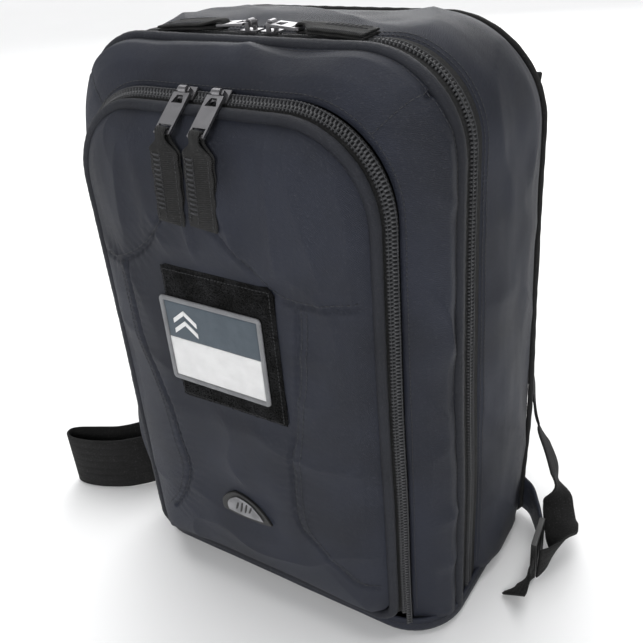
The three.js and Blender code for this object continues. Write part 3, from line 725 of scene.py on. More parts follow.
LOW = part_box("rear_gusset")[0]
FOOT = LOW.z
ZIP_LOW, ZIP_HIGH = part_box("main_zip_body")
TOOTH = 1.8 * MM
BAG_HALF = ZIP_HIGH.x - TOOTH
BAG_TOP = ZIP_HIGH.z - TOOTH
BAG_CORNER = 52 * MM
MAIN_ZIP_Y = ZIP_LOW.y - 0.7 * MM
POCKET_HALF = 104.8 * MM
POCKET_TOP = 355.8 * MM
POCKET_CORNER = 57 * MM
POCKET_ZIP_Y = -66.5 * MM
POCKET_ZIP_TILT = math.radians(40)
POCKET_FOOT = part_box("pocket_zip_front")[0].z + 5 * MM
PULL_SWAY = math.radians(5)
PULL_EYE_Y = POCKET_ZIP_Y - (6.4 * math.sin(POCKET_ZIP_TILT) + 27.05 * math.sin(math.radians(52))) * MM
PULL_EYE_Z = POCKET_TOP + (6.4 * math.cos(POCKET_ZIP_TILT) - 27.05 * math.cos(math.radians(52))) * MM
CORE = Vector((0, 0, 0.18))


# ------------------------------------------------------------------ the bag's shell

def arch_skin(name, stations, bulge, folds, seams=None, rows=30):
    """A wall round the sides and top through (y, half, top, corner) stations, crowned between its two
    seams."""
    knots = [Vector((half, top, corner)) for _, half, top, corner in stations]
    depths = [y for y, _, _, _ in stations]
    grid = []
    for i in range(rows + 1):
        share = i / rows
        y = depths[0] + (depths[-1] - depths[0]) * share
        k = 0
        while k < len(depths) - 2 and (depths[k + 1] - y) * (depths[-1] - depths[0]) < 0:
            k += 1
        size = knots[k].lerp(knots[k + 1], (y - depths[k]) / (depths[k + 1] - depths[k]))
        row = []
        for x, z, out_x, out_z in arch(size.x, size.y, size.z, FOOT):
            point = Vector((x, y, z))
            outward = Vector((out_x, 0, out_z))
            lift = bulge(point, share) + folds(point) * math.sin(math.pi * share) ** 0.5
            if seams:
                lift += seams.depth(point)
            row.append(slump(point + outward * lift))
        grid.append(row)
    return surface(name, grid, inside=CORE)


def make_rear_gusset():
    stations = [(-0.0058, 0.1268, 0.3776, 0.052), (0.02, 0.1306, 0.3786, 0.056),
                (0.048, 0.132, 0.3778, 0.060),
                (0.0762, 0.130, 0.374, 0.062)]

    def bulge(point, share):
        edge = min(share, 1 - share)
        turned = 1.4 * MM * math.exp(-(edge / 0.035) ** 2)
        return 3.2 * MM * math.sin(math.pi * share) ** 0.8 - turned

    def folds(point):
        side = cloth_folds(point, 3.0 * MM, (1, 1.6, 0.8), 3.1)
        side += 2.2 * MM * ridges(point.x * 14 + point.y * 12, point.y * 9, point.z * 13 + point.y * 8)
        corner = math.exp(-((abs(point.x) - 0.115) ** 2 + (point.z - 0.34) ** 2) / 0.0012)
        creases = math.sin(point.y * 210 + 4 * noise.noise(point * 14))
        return side + corner * 0.7 * MM * creases

    piece = arch_skin("rear_gusset_cloth", stations, bulge, folds, rows=44)
    tree = surface_tree(piece)
    rows = []
    for offset in (2.6 * MM, 5.2 * MM):
        rows.append([Vector((x, stations[0][0] + offset, z)) for x, z, _,
                     _ in arch(0.127, 0.3778, 0.052, FOOT)[::3]])
    rows.append([Vector((x, stations[-1][0] - 3 * MM, z)) for x, z, _,
                 _ in arch(0.130, 0.374, 0.062, FOOT)[::3]])
    attach(sewn_rows("rear_gusset_stitching", tree, rows), THREAD, "pack", "fabric")
    attach(piece, BAG_CLOTH, "pack", "fabric", "rear_gusset")
    thicken(piece, 2.2 * MM)


def make_lid_gusset():
    stations = [(-0.0370, 0.1264, 0.3774, 0.053), (-0.046, 0.1226, 0.3736, 0.054),
                (-0.055, 0.1154, 0.3664, 0.0555),
                (-0.0612, 0.1066, 0.3576, 0.057)]
    darts = []
    for side in (-1, 1):
        darts.append([Vector((side * 0.114, -0.037, 0.360)), Vector((side * 0.104, -0.05, 0.353)),
                      Vector((side * 0.092, -0.0615, 0.3415))])
    seams = Seams(darts)

    def bulge(point, share):
        lower_left = math.exp(-((point.z - 0.09) / 0.07) ** 2) if point.x < 0 else 0
        lower_right = math.exp(-((point.z - 0.06) / 0.06) ** 2) if point.x > 0 else 0
        crown = 4.5 + 12 * lower_left + 3 * lower_right
        return crown * MM * math.sin(math.pi * share) ** 0.85

    def folds(point):
        slack = 4.6 - 1.4 * min(1, max(0, (point.z - 0.2) / 0.1))
        valley = math.exp(-((point.x - 0.038) / 0.016) ** 2) if point.z > 0.3 else 0
        crease = 2.4 * MM * ridges(point.x * 15 + point.y * 20, point.y * 14, point.z * 17)
        return cloth_folds(point, slack * MM, (1, 1.2, 1.0), 8.4) - valley * 3.0 * MM + crease

    piece = arch_skin("lid_gusset_cloth", stations, bulge, folds, seams, rows=26)
    tree = surface_tree(piece)
    front = [Vector((x, stations[-1][0] + 3.0 * MM, z)) for x, z, _,
             _ in arch(0.1085, 0.3596, 0.057, FOOT)[::3]]
    rear = [Vector((x, stations[0][0] - 2.4 * MM, z)) for x, z, _,
            _ in arch(0.1262, 0.3774, 0.053, FOOT)[::3]]
    beside = [[p + Vector((0, 0, 2.2 * MM)) for p in dart] for dart in darts]
    attach(sewn_rows("lid_gusset_stitching", tree, [front, rear] + beside), THREAD, "lid", "fabric")
    attach(piece, BAG_CLOTH, "lid", "fabric", "lid_gusset")
    thicken(piece, 2.0 * MM)


def base_ring(inset, z, count=160):
    """The base's outline: large rounded corners at the front and small ones at the back."""
    low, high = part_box("base_tray")
    x, front, back = high.x - inset, low.y + inset, high.y - inset
    corners = [(x, back, 14, 1, 1), (-x, back, 14, -1, 1), (-x, front, 38, -1, -1), (x, front, 38, 1, -1)]
    ring = []
    for corner_x, corner_y, radius, side_x, side_y in corners:
        size = max(1, radius - inset / MM) * MM
        start = math.atan2(side_y, side_x) - math.pi / 4
        for i in range(17):
            angle = start + 0.5 * math.pi * i / 16
            ring.append(Vector((corner_x - side_x * size + size * math.cos(angle),
                                corner_y - side_y * size + size * math.sin(angle), z)))
    closed = ring + ring[:1]
    lengths = running_length(closed)
    even = []
    k = 0
    for i in range(count):
        goal = lengths[-1] * i / count
        while lengths[k + 1] < goal:
            k += 1
        even.append(closed[k].lerp(closed[k + 1],
                                   (goal - lengths[k]) / max(1e-9, lengths[k + 1] - lengths[k])))
    return even


def make_base():
    profile = [(0.6, 14.5), (0, 12.5), (-0.6, 9.5), (-0.6, 6.5), (0.3, 3.6), (2.2, 1.6), (5.5, 0.5),
               (10, 0.05),
               (24, 0.0), (44, 0.0), (60, 0.0)]
    rows = [base_ring(inset * MM, z * MM) for inset, z in profile]
    for row, (inset, z) in zip(rows, profile):
        for point in row:
            soft = cloth_folds(point, 0.7 * MM, seed=2.0) * min(1, z / 6)
            point += (point - CORE).normalized() * soft
            point.z = max(point.z, 0)
    piece = surface("base_cloth", rows, wrap=True, inside=CORE)
    filler = bmesh.new()
    filler.from_mesh(piece.data)
    open_edges = [e for e in filler.edges if e.is_boundary and all(v.co.z < MM for v in e.verts)]
    bmesh.ops.holes_fill(filler, edges=open_edges)
    filler.to_mesh(piece.data)
    filler.free()
    attach(piece, BAG_CLOTH, "pack", "fabric", "base_tray")
    thicken(piece, 2.4 * MM)
    tree = surface_tree(piece)
    row = [p.copy() for p in base_ring(-0.4 * MM, 10.5 * MM)]
    attach(sewn_rows("base_stitching", tree, [row]), THREAD, "pack", "fabric")


# ------------------------------------------------------------------ panels

def panel_half(z, half, foot, top, foot_corner, top_corner):
    """Half the width of a round-cornered panel at one height."""
    for gap, corner in ((z - foot, foot_corner), (top - z, top_corner)):
        if gap < corner:
            return half - corner + math.sqrt(max(0, corner ** 2 - (corner - gap) ** 2))
    return half


def panel_grid(outline, columns, rows, depth):
    """Rows of points over a round-cornered panel; depth(x, z, edge) gives y."""
    foot, top = outline[1:3]
    grid = []
    for i in range(rows + 1):
        z = foot + (top - foot) * 0.5 * (1 - math.cos(math.pi * i / rows))
        width = max(panel_half(z, *outline), 0.5 * MM)
        row = []
        for j in range(columns + 1):
            x = width * math.sin(0.5 * math.pi * (2 * j / columns - 1))
            edge = min(width - abs(x), z - foot, top - z)
            row.append(Vector((x, depth(x, z, edge), z)))
        grid.append(row)
    return grid


PANEL_LOW, PANEL_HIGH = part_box("pocket_panel")
EDGE_Y = -76 * MM
PANEL_TUCK = 2.2 * MM
PANEL_FOOT_CORNER = 22 * MM
PANEL_TOP_CORNER = 50 * MM
BADGE_SEAT = 11.1 * MM
FIELD_LOW, FIELD_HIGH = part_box("loop_field")
RIGHT_YOKE = [(-1, 303), (2, 295), (11, 288), (20, 279), (29, 270), (36, 263), (44, 257), (54, 255),
              (74, 255.5), (96, 257)]
LEFT_YOKE = [(-30, 293), (-33, 289), (-43, 277), (-54, 267), (-64, 261), (-76, 256), (-96, 255)]
RIGHT_WAIST = [(56, 253), (54, 228), (51, 200), (46, 170), (41, 137), (40, 112), (42, 91), (52, 78),
               (66, 67), (80, 56), (94, 52)]
LEFT_WAIST = [(-70, 257), (-70, 233), (-69, 204), (-62, 174), (-54, 153), (-50, 129), (-47, 108),
              (-52, 88), (-62, 70), (-72, 58)]


def panel_line(points, shift=0.0):
    """A seam drawn on the front panel in millimetres across and up."""
    return [Vector(((x + shift) * MM, EDGE_Y - 11 * MM, z * MM)) for x, z in points]


def make_front_panel():
    lines = [panel_line(points) for points in (RIGHT_YOKE, LEFT_YOKE, RIGHT_WAIST, LEFT_WAIST)]
    flat_lines = [[Vector((p.x, 0, p.z)) for p in line] for line in lines]
    seams = Seams(flat_lines)
    outline = (PANEL_HIGH.x + PANEL_TUCK, PANEL_LOW.z - PANEL_TUCK, PANEL_HIGH.z + PANEL_TUCK,
               PANEL_FOOT_CORNER, PANEL_TOP_CORNER)
    field_centre = (FIELD_LOW + FIELD_HIGH) / 2
    badge = sum(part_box("badge_rim"), Vector()) / 2
    field_half = (FIELD_HIGH - FIELD_LOW) / 2

    def depth(x, z, edge):
        flat = Vector((x, 0, z))
        away = max(abs(x - field_centre.x) - field_half.x, abs(z - field_centre.z) - field_half.z, 0)
        free = min(1, away / (16 * MM))
        free = free * free * (3 - 2 * free)
        clear = min(1, math.hypot(max(0, abs(x - badge.x) - 18 * MM),
                                  max(0, abs(z - badge.z) - 7 * MM)) / (24 * MM))
        clear = clear * clear * (3 - 2 * clear)
        rise = 11.9 * MM * (1 - math.exp(-edge / (15 * MM)))
        belly = 2.6 * MM * max(0, 1 - ((z - 0.105) / 0.11) ** 2) * max(0, 1 - (x / 0.09) ** 2) ** 0.7
        belly += 2.0 * MM * max(0, 1 - ((z - 0.3) / 0.05) ** 2) * max(0, 1 - (x / 0.08) ** 2)
        pull = 3.4 * MM * noise.noise(Vector((x * 30 + z * 6, 0.3, z * 7)))
        low = 3.4 * MM * noise.noise(Vector((x * 22 - z * 7, 4.3, z * 16)))
        folds = pull if z > 0.25 else low
        mix = min(1, abs(z - 0.25) / (20 * MM))
        near_edge = min(1, edge / (10 * MM))
        high = min(1, max(0, (z - 0.255) / 0.03))
        creases = 2.6 * MM * ridges(x * 34 + z * 5, 7.1, z * 7) * high
        creases += 2.0 * MM * ridges(x * 16 + z * 13, 2.6, z * 17 - x * 9) * (1 - high)
        lift = rise + free * (belly + folds * mix + creases) * near_edge
        lift = BADGE_SEAT + (lift - BADGE_SEAT) * clear
        lift += near_edge * seams.depth(flat) * min(1, 0.3 + free)
        return EDGE_Y - lift

    piece = surface("front_panel_cloth", panel_grid(outline, 210, 340, depth), inside=CORE)
    tree = surface_tree(piece)
    rows = [panel_line(points, shift) for points, shift in
            ((RIGHT_WAIST, 3.2), (RIGHT_WAIST, 6.4), (LEFT_WAIST, -3.2), (LEFT_WAIST, -6.4))]
    for points in (RIGHT_YOKE, LEFT_YOKE):
        rows.append([p + Vector((0, 0, 3.0 * MM)) for p in panel_line(points)])
    attach(sewn_rows("front_panel_stitching", tree, rows), THREAD, "pocket", "fabric")
    attach(piece, BAG_CLOTH, "pocket", "fabric", "pocket_panel")
    thicken(piece, 2.0 * MM)


def make_back_panel():
    outline = (0.130, 1 * MM, 0.374, 14 * MM, 62 * MM)
    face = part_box("back_panel")[1].y

    def depth(x, z, edge):
        return face - 1.6 * MM * math.exp(-edge / (5 * MM)) + 0.25 * MM * noise.noise(Vector((x * 30, 2,
                                                                                              z * 30)))

    piece = surface("back_panel_cloth", panel_grid(outline, 60, 90, depth), inside=CORE)
    attach(piece, BAG_CLOTH, "pack", "fabric", "back_panel")
    thicken(piece, 2.2 * MM)
    rim = []
    for x, z, out_x, out_z in arch(0.1302, 0.3742, 0.062, 16 * MM):
        rim.append(slump(Vector((x + out_x * 0.6 * MM, face - 1.8 * MM, z + out_z * 0.6 * MM))))
    foot = [Vector((0.1308 - 14 * MM * (1 - math.cos(a)), face - 1.8 * MM, (16 - 14 * math.sin(a)) * MM))
            for a in (0.4, 0.8, 1.2, 0.5 * math.pi)]
    rim += foot + [Vector((-p.x, p.y, p.z)) for p in reversed(foot)] + rim[:1]
    binding = tube("back_binding", rim, 1.9 * MM, 10, lambda i: 1 + 0.06 * math.sin(i * 1.7))
    attach(binding, BINDING, "pack", "piping")


# ------------------------------------------------------------------ zips and piping

def make_zip_half(name, size, zip_y, side, width, foot, body, tilt=0.0):
    """One side of a zip: a woven tape and a coil whose turns are sewn down along it. Tilt turns the zip from
    facing outwards towards the front."""
    cos, sin = math.cos(tilt), math.sin(tilt)
    half, top, corner = size
    path = arch(half, top, corner, foot)
    line = [Vector((x, 0, z)) for x, z, _, _ in path]
    outs = [Vector((out_x, 0, out_z)) for _, _, out_x, out_z in path]
    rows = []
    for share, lift in ((0.08, 0), (0.3, 0), (0.4, 0.1), (0.5, 0.3), (0.6, 0.1), (0.8, 0.25), (1, 0)):
        run = side * width * share
        fall = sin * run * (1 - share ** 2 if side > 0 else 1)
        rows.append([slump(p + o * (lift * MM + fall) + Vector((0, zip_y + run * cos, 0))) for p,
                     o in zip(line, outs)])
    tape = surface(f"{name}_tape", rows, inside=CORE)
    attach(tape, ZIP_TAPE, body, "zip", name)
    thicken(tape, 1.0 * MM)

    pitch = 2.3 * MM
    even = smooth_line(line, pitch)
    tree = KDTree(len(line))
    for i, point in enumerate(line):
        tree.insert(point, i)
    tree.balance()
    turns = []
    for i, along in enumerate(directions(even)):
        point = even[i] + along * (0.5 * pitch if side < 0 else 0)
        out = outs[tree.find(point)[1]]
        out = (out - along * out.dot(along)).normalized()
        rings = []
        for reach, size_along, size_out in ((3.5, 0.4, 0.9), (3.25, 0.75, 1.5), (2.2, 0.82, 1.72),
                                            (1.0, 0.8, 1.68),
                                            (0.15, 0.98, 1.4), (-0.35, 0.9, 0.9), (-0.5, 0.4, 0.4)):
            run = side * reach * MM
            centre = slump(point + out * run * sin + Vector((0, zip_y + run * cos, 0)))
            face = out * cos - Vector((0, sin, 0))
            rings.append([centre + (along * math.cos(TURN * k / 8) * size_along
                                    + face * math.sin(TURN * k / 8) * size_out) * MM for k in range(8)])
        turns.append(rings)
    attach(many(f"{name}_coil", turns), ZIP_TEETH, body, "zip")
    seam = []
    for p, o in zip(line[::2], outs[::2]):
        lift, run = 1.75 * MM, side * 2.5 * MM
        seam.append(slump(p + o * (lift * cos + run * sin) + Vector((0, zip_y + run * cos - lift * sin, 0))))
    cover = tube(f"{name}_sewing_thread", seam, 0.28 * MM, 6)
    attach(cover, THREAD, body, "zip")


def make_zips():
    main = (BAG_HALF, BAG_TOP, BAG_CORNER)
    pocket = (POCKET_HALF, POCKET_TOP, POCKET_CORNER)
    make_zip_half("main_zip_body", main, MAIN_ZIP_Y, 1, 11.8 * MM, FOOT, "pack")
    make_zip_half("main_zip_lid", main, MAIN_ZIP_Y, -1, 13.2 * MM, FOOT, "lid")
    make_zip_half("pocket_zip_lid", pocket, POCKET_ZIP_Y, 1, 7.7 * MM, FOOT, "lid", POCKET_ZIP_TILT)
    make_zip_half("pocket_zip_front", pocket, POCKET_ZIP_Y, -1, 7.7 * MM, POCKET_FOOT, "pocket",
                  POCKET_ZIP_TILT)


def make_piping(name, half, top, corner, foot, y, radius, body, node, tuck, closed=False):
    """A cord covered in cloth, with small gathers. Its two ends turn in at the foot, and meet there if
    closed."""
    line = [Vector((x, y, z)) for x, z, _, _ in arch(half, top, corner, foot)]
    left, right = line[0], line[-1]
    before = [left + Vector((tuck * (1 - math.cos(a)), 0, -tuck * math.sin(a))) for a in (1.4, 1.0, 0.6, 0.3)]
    after = [right + Vector((-tuck * (1 - math.cos(a)), 0, -tuck * math.sin(a))) for a in (0.3, 0.6, 1.0,
                                                                                           1.4)]
    if closed:
        along_foot = [Vector((x * MM, y, foot - tuck)) for x in (0, 25, 50, 75)]
        before = [Vector((-p.x, p.y, p.z)) for p in along_foot] + before
        after += reversed(along_foot)
    line = [slump(p) for p in smooth_line(before + line[2:-2] + after, 2.0 * MM)]

    def swell(i):
        return 1 + 0.05 * noise.noise(line[i] * 170) + 0.02 * math.sin(i * 2.4)

    cord = tube(name, line, radius, 14, swell)
    attach(cord, PIPING_CLOTH, body, "piping", node)


def make_all_piping():
    low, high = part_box("lid_piping")
    radius = (high.y - low.y) / 2
    make_piping("lid_piping_cord", high.x - radius, high.z - radius, BAG_CORNER, FOOT, low.y + radius, radius,
                "lid", "lid_piping", 3 * MM)
    low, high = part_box("pocket_piping")
    radius = (high.y - low.y) / 2
    make_piping("pocket_piping_cord", high.x - radius, high.z - radius, 52.4 * MM, low.z + 15 * MM,
                low.y + radius,
                radius, "pocket", "pocket_piping", 15 * MM, closed=True)


# ------------------------------------------------------------------ hardware from the frame

def rounded_copy(node, name, material, body, slot, bevel=0.35, segments=3):
    """A fine piece with the CAD part's own shape and soft moulded or cast edges."""
    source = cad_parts[node]
    mesh = source.data.copy()
    mesh.materials.clear()
    piece = bpy.data.objects.new(name, mesh)
    bpy.context.scene.collection.objects.link(piece)
    clean = bmesh.new()
    clean.from_mesh(mesh)
    bmesh.ops.remove_doubles(clean, verts=clean.verts, dist=1e-6)
    bmesh.ops.dissolve_limit(clean, angle_limit=math.radians(3), verts=clean.verts, edges=clean.edges)
    bmesh.ops.recalc_face_normals(clean, faces=clean.faces)
    clean.to_mesh(mesh)
    clean.free()
    for face in mesh.polygons:
        face.use_smooth = True
    edge = piece.modifiers.new("soft edges", "BEVEL")
    edge.width = bevel * MM
    edge.segments = segments
    edge.limit_method = "ANGLE"
    edge.angle_limit = math.radians(28)
    edge.harden_normals = False
    shade = piece.modifiers.new("even shading", "WEIGHTED_NORMAL")
    shade.keep_sharp = True
    return attach(piece, material, body, slot, node)


def pull_frame(family, side):
    """Where a webbing pull starts, its length, and its directions along, across and out."""
    low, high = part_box(f"{family}_pull_{side}")
    middle = (low + high) / 2
    if family == "pocket":
        turn = Matrix.Rotation(PULL_SWAY, 3, "Y")
        tab_low, tab_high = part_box(f"pocket_tab_{side}")
        start = Vector(((tab_low.x + tab_high.x) / 2, PULL_EYE_Y, PULL_EYE_Z))
        return start, 52.0, turn @ Vector((0, 0, -1)), turn @ Vector((1, 0, 0)), turn @ Vector((0, -1, 0))
    sign = -1 if side == "left" else 1
    start = Vector((low.x + 3.0 * MM if sign > 0 else high.x - 3.0 * MM, middle.y, middle.z))
    return start, (high.x - low.x) / MM - 3, Vector((sign, 0, 0)), Vector((0, -sign, 0)), Vector((0, 0, 1))


def make_pull(family, side):
    """Folded webbing looped through the tab, sewn down one edge with a ladder of bar tacks."""
    start, length, along, across, out = pull_frame(family, side)
    bend = 0.4 if family == "pocket" else 1.9
    far = length - 14
    path = [(length, 0.85), (length - 1, 0.95), (far, 0.9), (20, 0.95), (10, 1.1), (5.5, 1.6), (2, 2.25),
            (-1.2, 2.1),
            (-2.5, 0), (-1.2, -2.1), (2, -2.25), (5.5, -1.6), (10, -1.1), (20, -0.95), (far, -0.9),
            (length - 1, -0.95),
            (length, -0.85)]
    line = smooth_line([start + (along * a + out * t) * MM for a, t in path], 1.2 * MM)

    def half_width(point):
        run = (point - start).dot(along) / MM
        share = min(1, max(0, (run - 2) / 9))
        wide = 6.4 + 13.4 * share * share * (3 - 2 * share)
        return 0.5 * wide * MM * (1 - 0.03 * math.sin(run * 0.5))

    rings = []
    for point, direction in zip(line, directions(line)):
        face = direction.cross(across).normalized()
        half = half_width(point)
        run = (point - start).dot(along) / length / MM
        droop = -out * bend * 1.1 * MM * max(0, run) ** 2
        ring = []
        for a, b in ((-1, 0), (-0.93, 0.5), (-0.5, 0.52), (0, 0.58), (0.5, 0.52), (0.93, 0.5), (1, 0),
                     (0.93, -0.5),
                     (0, -0.5), (-0.93, -0.5)):
            ring.append(point + droop + across * half * a + face * 1.35 * MM * b)
        rings.append(ring)
    body = f"{family}_pull_{side}"
    pull = surface(f"{body}_webbing", rings, wrap=True, ends=True)
    threads = []
    for i in range(int((length - 17) / 2.8)):
        run = 12.5 + i * 2.8
        for sign in (1, -1):
            base = start + along * run * MM + out * sign * 1.62 * MM - out * bend * 1.1 * MM * (run / length) ** 2
            for a, b, shift in ((-7.6, -2.8, 0), (-7.6, -2.8, 0.6)):
                threads.append(stitch(base + across * a * MM + along * shift * MM,
                                      base + across * b * MM + along * shift * MM, out * sign, 0.6 * MM))
    for offset in (-7.8, -2.5, 7.8):
        for i in range(int((length - 13) / 2.6)):
            run = 11 + i * 2.6
            for sign in (1, -1):
                base = start + out * sign * 1.62 * MM + across * offset * MM - out * bend * 1.1 * MM * (run / length) ** 2
                threads.append(stitch(base + along * run * MM, base + along * (run + 2) * MM, out * sign,
                                      0.5 * MM))
    attach(many(f"{body}_stitching", threads), THREAD, body, "webbing")
    attach(pull, PULL_WEBBING, body, "webbing", body)


def make_sliders():
    for family in ("main", "pocket"):
        for side in ("left", "right"):
            slider = f"{family}_slider_{side}"
            tab = f"{family}_tab_{side}"
            rounded_copy(slider, f"{slider}_cast", METAL, slider, "metal", 0.45)
            rounded_copy(tab, f"{tab}_stamped", METAL, tab, "metal", 0.3)
            make_pull(family, side)


# ------------------------------------------------------------------ loop field, patch and badge

def make_loop_field():
    low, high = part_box("loop_field")
    chance = random.Random(5)
    columns, rows = 82, 92
    corner = 3.5 * MM
    centre = (low + high) / 2
    half = (high - low) / 2
    grid = []
    for i in range(rows + 1):
        up = 2 * i / rows - 1
        row = []
        for j in range(columns + 1):
            side = 2 * j / columns - 1
            x, z = side * half.x, up * half.z
            excess = Vector((max(0, abs(x) - half.x + corner), max(0, abs(z) - half.z + corner)))
            if excess.length > corner:
                cut = excess * (corner / excess.length)
                x = math.copysign(half.x - corner + cut.x, x)
                z = math.copysign(half.z - corner + cut.y, z)
            edge = min(half.x - abs(x), half.z - abs(z))
            nap = 0.35 * MM * noise.noise(Vector((x * 900, 0,
                                                  z * 900))) + 0.2 * MM * noise.noise(Vector((x, 1, z)) * 160)
            y = low.y + 0.3 * MM + nap + 1.1 * MM * math.exp(-edge / (0.9 * MM))
            row.append(Vector((centre.x + x, y, centre.z + z)))
        grid.append(row)
    piece = surface("loop_field_pile", grid, inside=CORE)
    attach(piece, LOOP_PILE, "pocket", "loop", "loop_field")
    thicken(piece, 0.9 * MM)
    patch_low, patch_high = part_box("patch_border")
    loops = []
    while len(loops) < 2600:
        x = chance.uniform(low.x + MM, high.x - MM)
        z = chance.uniform(low.z + MM, high.z - MM)
        if patch_low.x - MM < x < patch_high.x + MM and patch_low.z - MM < z < patch_high.z + MM:
            if chance.random() < 0.97:
                continue
        angle = chance.uniform(0, TURN)
        lean = Vector((math.cos(angle), 0, math.sin(angle)))
        root = Vector((x, low.y + 0.35 * MM, z))
        size = chance.uniform(0.5, 0.95) * MM
        top = root + lean * size * 0.5 + Vector((0, -size * 0.75, 0))
        loops.append(stitch_arch(root, top, root + lean * size))
    attach(many("loop_field_loops", loops), LOOP_PILE, "pocket", "loop")
    x, z = half.x - 2.2 * MM, half.z - 2.2 * MM
    rows = []
    for a, b in (((-x, -z), (x, -z)), ((x, -z), (x, z)), ((x, z), (-x, z)), ((-x, z), (-x, -z))):
        rows.append([Vector((centre.x + p[0], low.y, centre.z + p[1])) for p in (a, b)])
    attach(sewn_rows("loop_field_stitching", surface_tree(piece), rows, 2.4 * MM, 0.5 * MM), THREAD,
           "pocket", "fabric")


def stitch_arch(start, top, end):
    """Rings of one thin loop of yarn."""
    rings = []
    for a, b in ((0.0, 0.0), (0.25, 0.75), (0.5, 1.0), (0.75, 0.75), (1.0, 0.0)):
        centre = start.lerp(end, a).lerp(top, b * 0.9)
        size = 0.11 * MM
        rings.append([centre + Vector((math.cos(TURN * k / 4) * size, 0,
                                       math.sin(TURN * k / 4) * size)) for k in range(4)])
    return rings


def embroidered(name, outline, centre, front, rise, material, body):
    """A raised satin-stitched shape from an outline of (x, z) points in millimetres."""
    rings = []
    for scale, lift in ((1.0, -0.3), (1.0, rise * 0.5), (0.9, rise * 0.95), (0.6, rise), (0.2, rise)):
        middle = Vector((sum(p[0] for p in outline), sum(p[1] for p in outline))) / len(outline)
        ring = []
        for x, z in outline:
            place = middle + (Vector((x, z)) - middle) * scale
            ring.append(Vector((centre.x + place.x * MM, front - lift * MM, centre.z + place.y * MM)))
        rings.append(ring)
    piece = surface(name, rings, wrap=True, ends=True)
    layer = piece.data.uv_layers[UV_NAME].data
    for loop in piece.data.loops:
        at = piece.data.vertices[loop.vertex_index].co
        layer[loop.index].uv = (at.z, at.x)
    return attach(piece, material, body, "patch_thread")


def make_patch():
    low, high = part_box("patch_border")
    cloth_low, cloth_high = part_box("patch_cloth")
    centre = (low + high) / 2
    half = (cloth_high - cloth_low) / 2
    front = cloth_low.y

    def field(name, z0, z1, material, replaced):
        rows = []
        for i in range(31):
            z = z0 + (z1 - z0) * i / 30
            row = []
            for j in range(61):
                x = centre.x - half.x + 2 * half.x * j / 60
                edge = min(z - z0, z1 - z, half.x - abs(x - centre.x))
                nap = 0.07 * MM * noise.noise(Vector((x * 300, 0, z * 300)))
                row.append(Vector((x, front + 0.25 * MM * math.exp(-edge / (0.7 * MM)) + nap, z)))
            rows.append(row)
        piece = surface(name, rows, inside=CORE)
        attach(piece, material, "patch", "patch_cloth", *replaced)
        thicken(piece, 1.2 * MM)
        return piece

    middle = centre.z + 1.5 * MM
    field("patch_upper_field", middle, cloth_high.z, SLATE, ("patch_cloth",))
    field("patch_lower_field", cloth_low.z, middle, WHITE_THREAD, ())
    mark = Vector((centre.x - 20 * MM, 0, middle + 13.5 * MM))
    for i, drop in enumerate((0, -7.0)):
        chevron = [(-9, -3 + drop), (0, 4 + drop), (9, -3 + drop), (9, 0.2 + drop), (0, 7.2 + drop),
                   (-9, 0.2 + drop)]
        left = [chevron[0], chevron[1], chevron[4], chevron[5]]
        right = [chevron[1], chevron[2], chevron[3], chevron[4]]
        for name, shape in (("left", left), ("right", right)):
            embroidered(f"patch_chevron_{i}_{name}", shape, mark, front, 0.45, WHITE_THREAD, "patch")

    ring = []
    x, z, corner = (high.x - low.x) / 2 - 1.6 * MM, (high.z - low.z) / 2 - 1.6 * MM, 1.5 * MM
    for corner_x, corner_z, start in ((x, z, 0), (-x, z, 1), (-x, -z, 2), (x, -z, 3)):
        for i in range(7):
            angle = 0.5 * math.pi * (start + i / 6)
            ring.append(Vector((centre.x + math.copysign(x - corner, corner_x) + corner * math.cos(angle), 0,
                                centre.z + math.copysign(z - corner, corner_z) + corner * math.sin(angle))))
    ring.append(ring[0].copy())
    dense = []
    for a, b in zip(ring, ring[1:]):
        parts = max(1, round((b - a).length / (0.85 * MM)))
        dense += [a.lerp(b, i / parts) for i in range(parts)]
    threads = []
    count = len(dense)
    for i, point in enumerate(dense):
        along = (dense[(i + 1) % count] - dense[i - 1]).normalized()
        outward = Vector((along.z, 0, -along.x))
        if outward.dot(point - Vector((centre.x, 0, centre.z))) < 0:
            outward = -outward
        rings = []
        for a in (-1.0, -0.8, -0.4, 0.0, 0.4, 0.8, 1.0):
            lift = 1.25 * math.sqrt(max(0, 1 - a * a)) + 0.1
            place = point + outward * a * 1.5 * MM + along * a * 0.45 * MM
            place.y = front + 0.75 * MM - lift * MM
            side = along * 0.5 * MM
            up = Vector((0, -0.4 * MM, 0))
            rings.append([place + side * math.cos(TURN * k / 6) + up * math.sin(TURN * k / 6)
                          for k in range(6)])
        threads.append(rings)
    attach(many("patch_overlock_border", threads), BORDER_THREAD, "patch", "patch_thread", "patch_border")


BADGE_BARS = ((-6.0, 3.2), (-2.4, 4.4), (1.2, 4.0), (4.8, 2.8))


def make_badge():
    rounded_copy("badge_rim", "badge_rubber_rim", RUBBER, "pocket", "rubber", 0.7, 4)
    rounded_copy("badge_inlay", "badge_silver_inlay", SILVER, "pocket", "badge_silver", 0.2)
    low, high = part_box("badge_inlay")
    centre = (low + high) / 2
    bars = []
    for offset, size in BADGE_BARS:
        rings = []
        for share, width in ((-1, 0.3), (-0.8, 0.75), (0, 0.9), (0.8, 0.75), (1, 0.3)):
            middle = Vector((centre.x + (offset + share * 1.2) * MM, low.y + 0.05 * MM,
                             centre.z + share * size * MM))
            rings.append([middle + Vector((math.cos(TURN * i / 8) * width * MM,
                                           math.sin(TURN * i / 8) * 0.5 * MM, 0))
                          for i in range(8)])
        bars.append(rings)
    attach(many("badge_raised_bars", bars), RUBBER, "pocket", "rubber")


# ------------------------------------------------------------------ straps, handle and belt

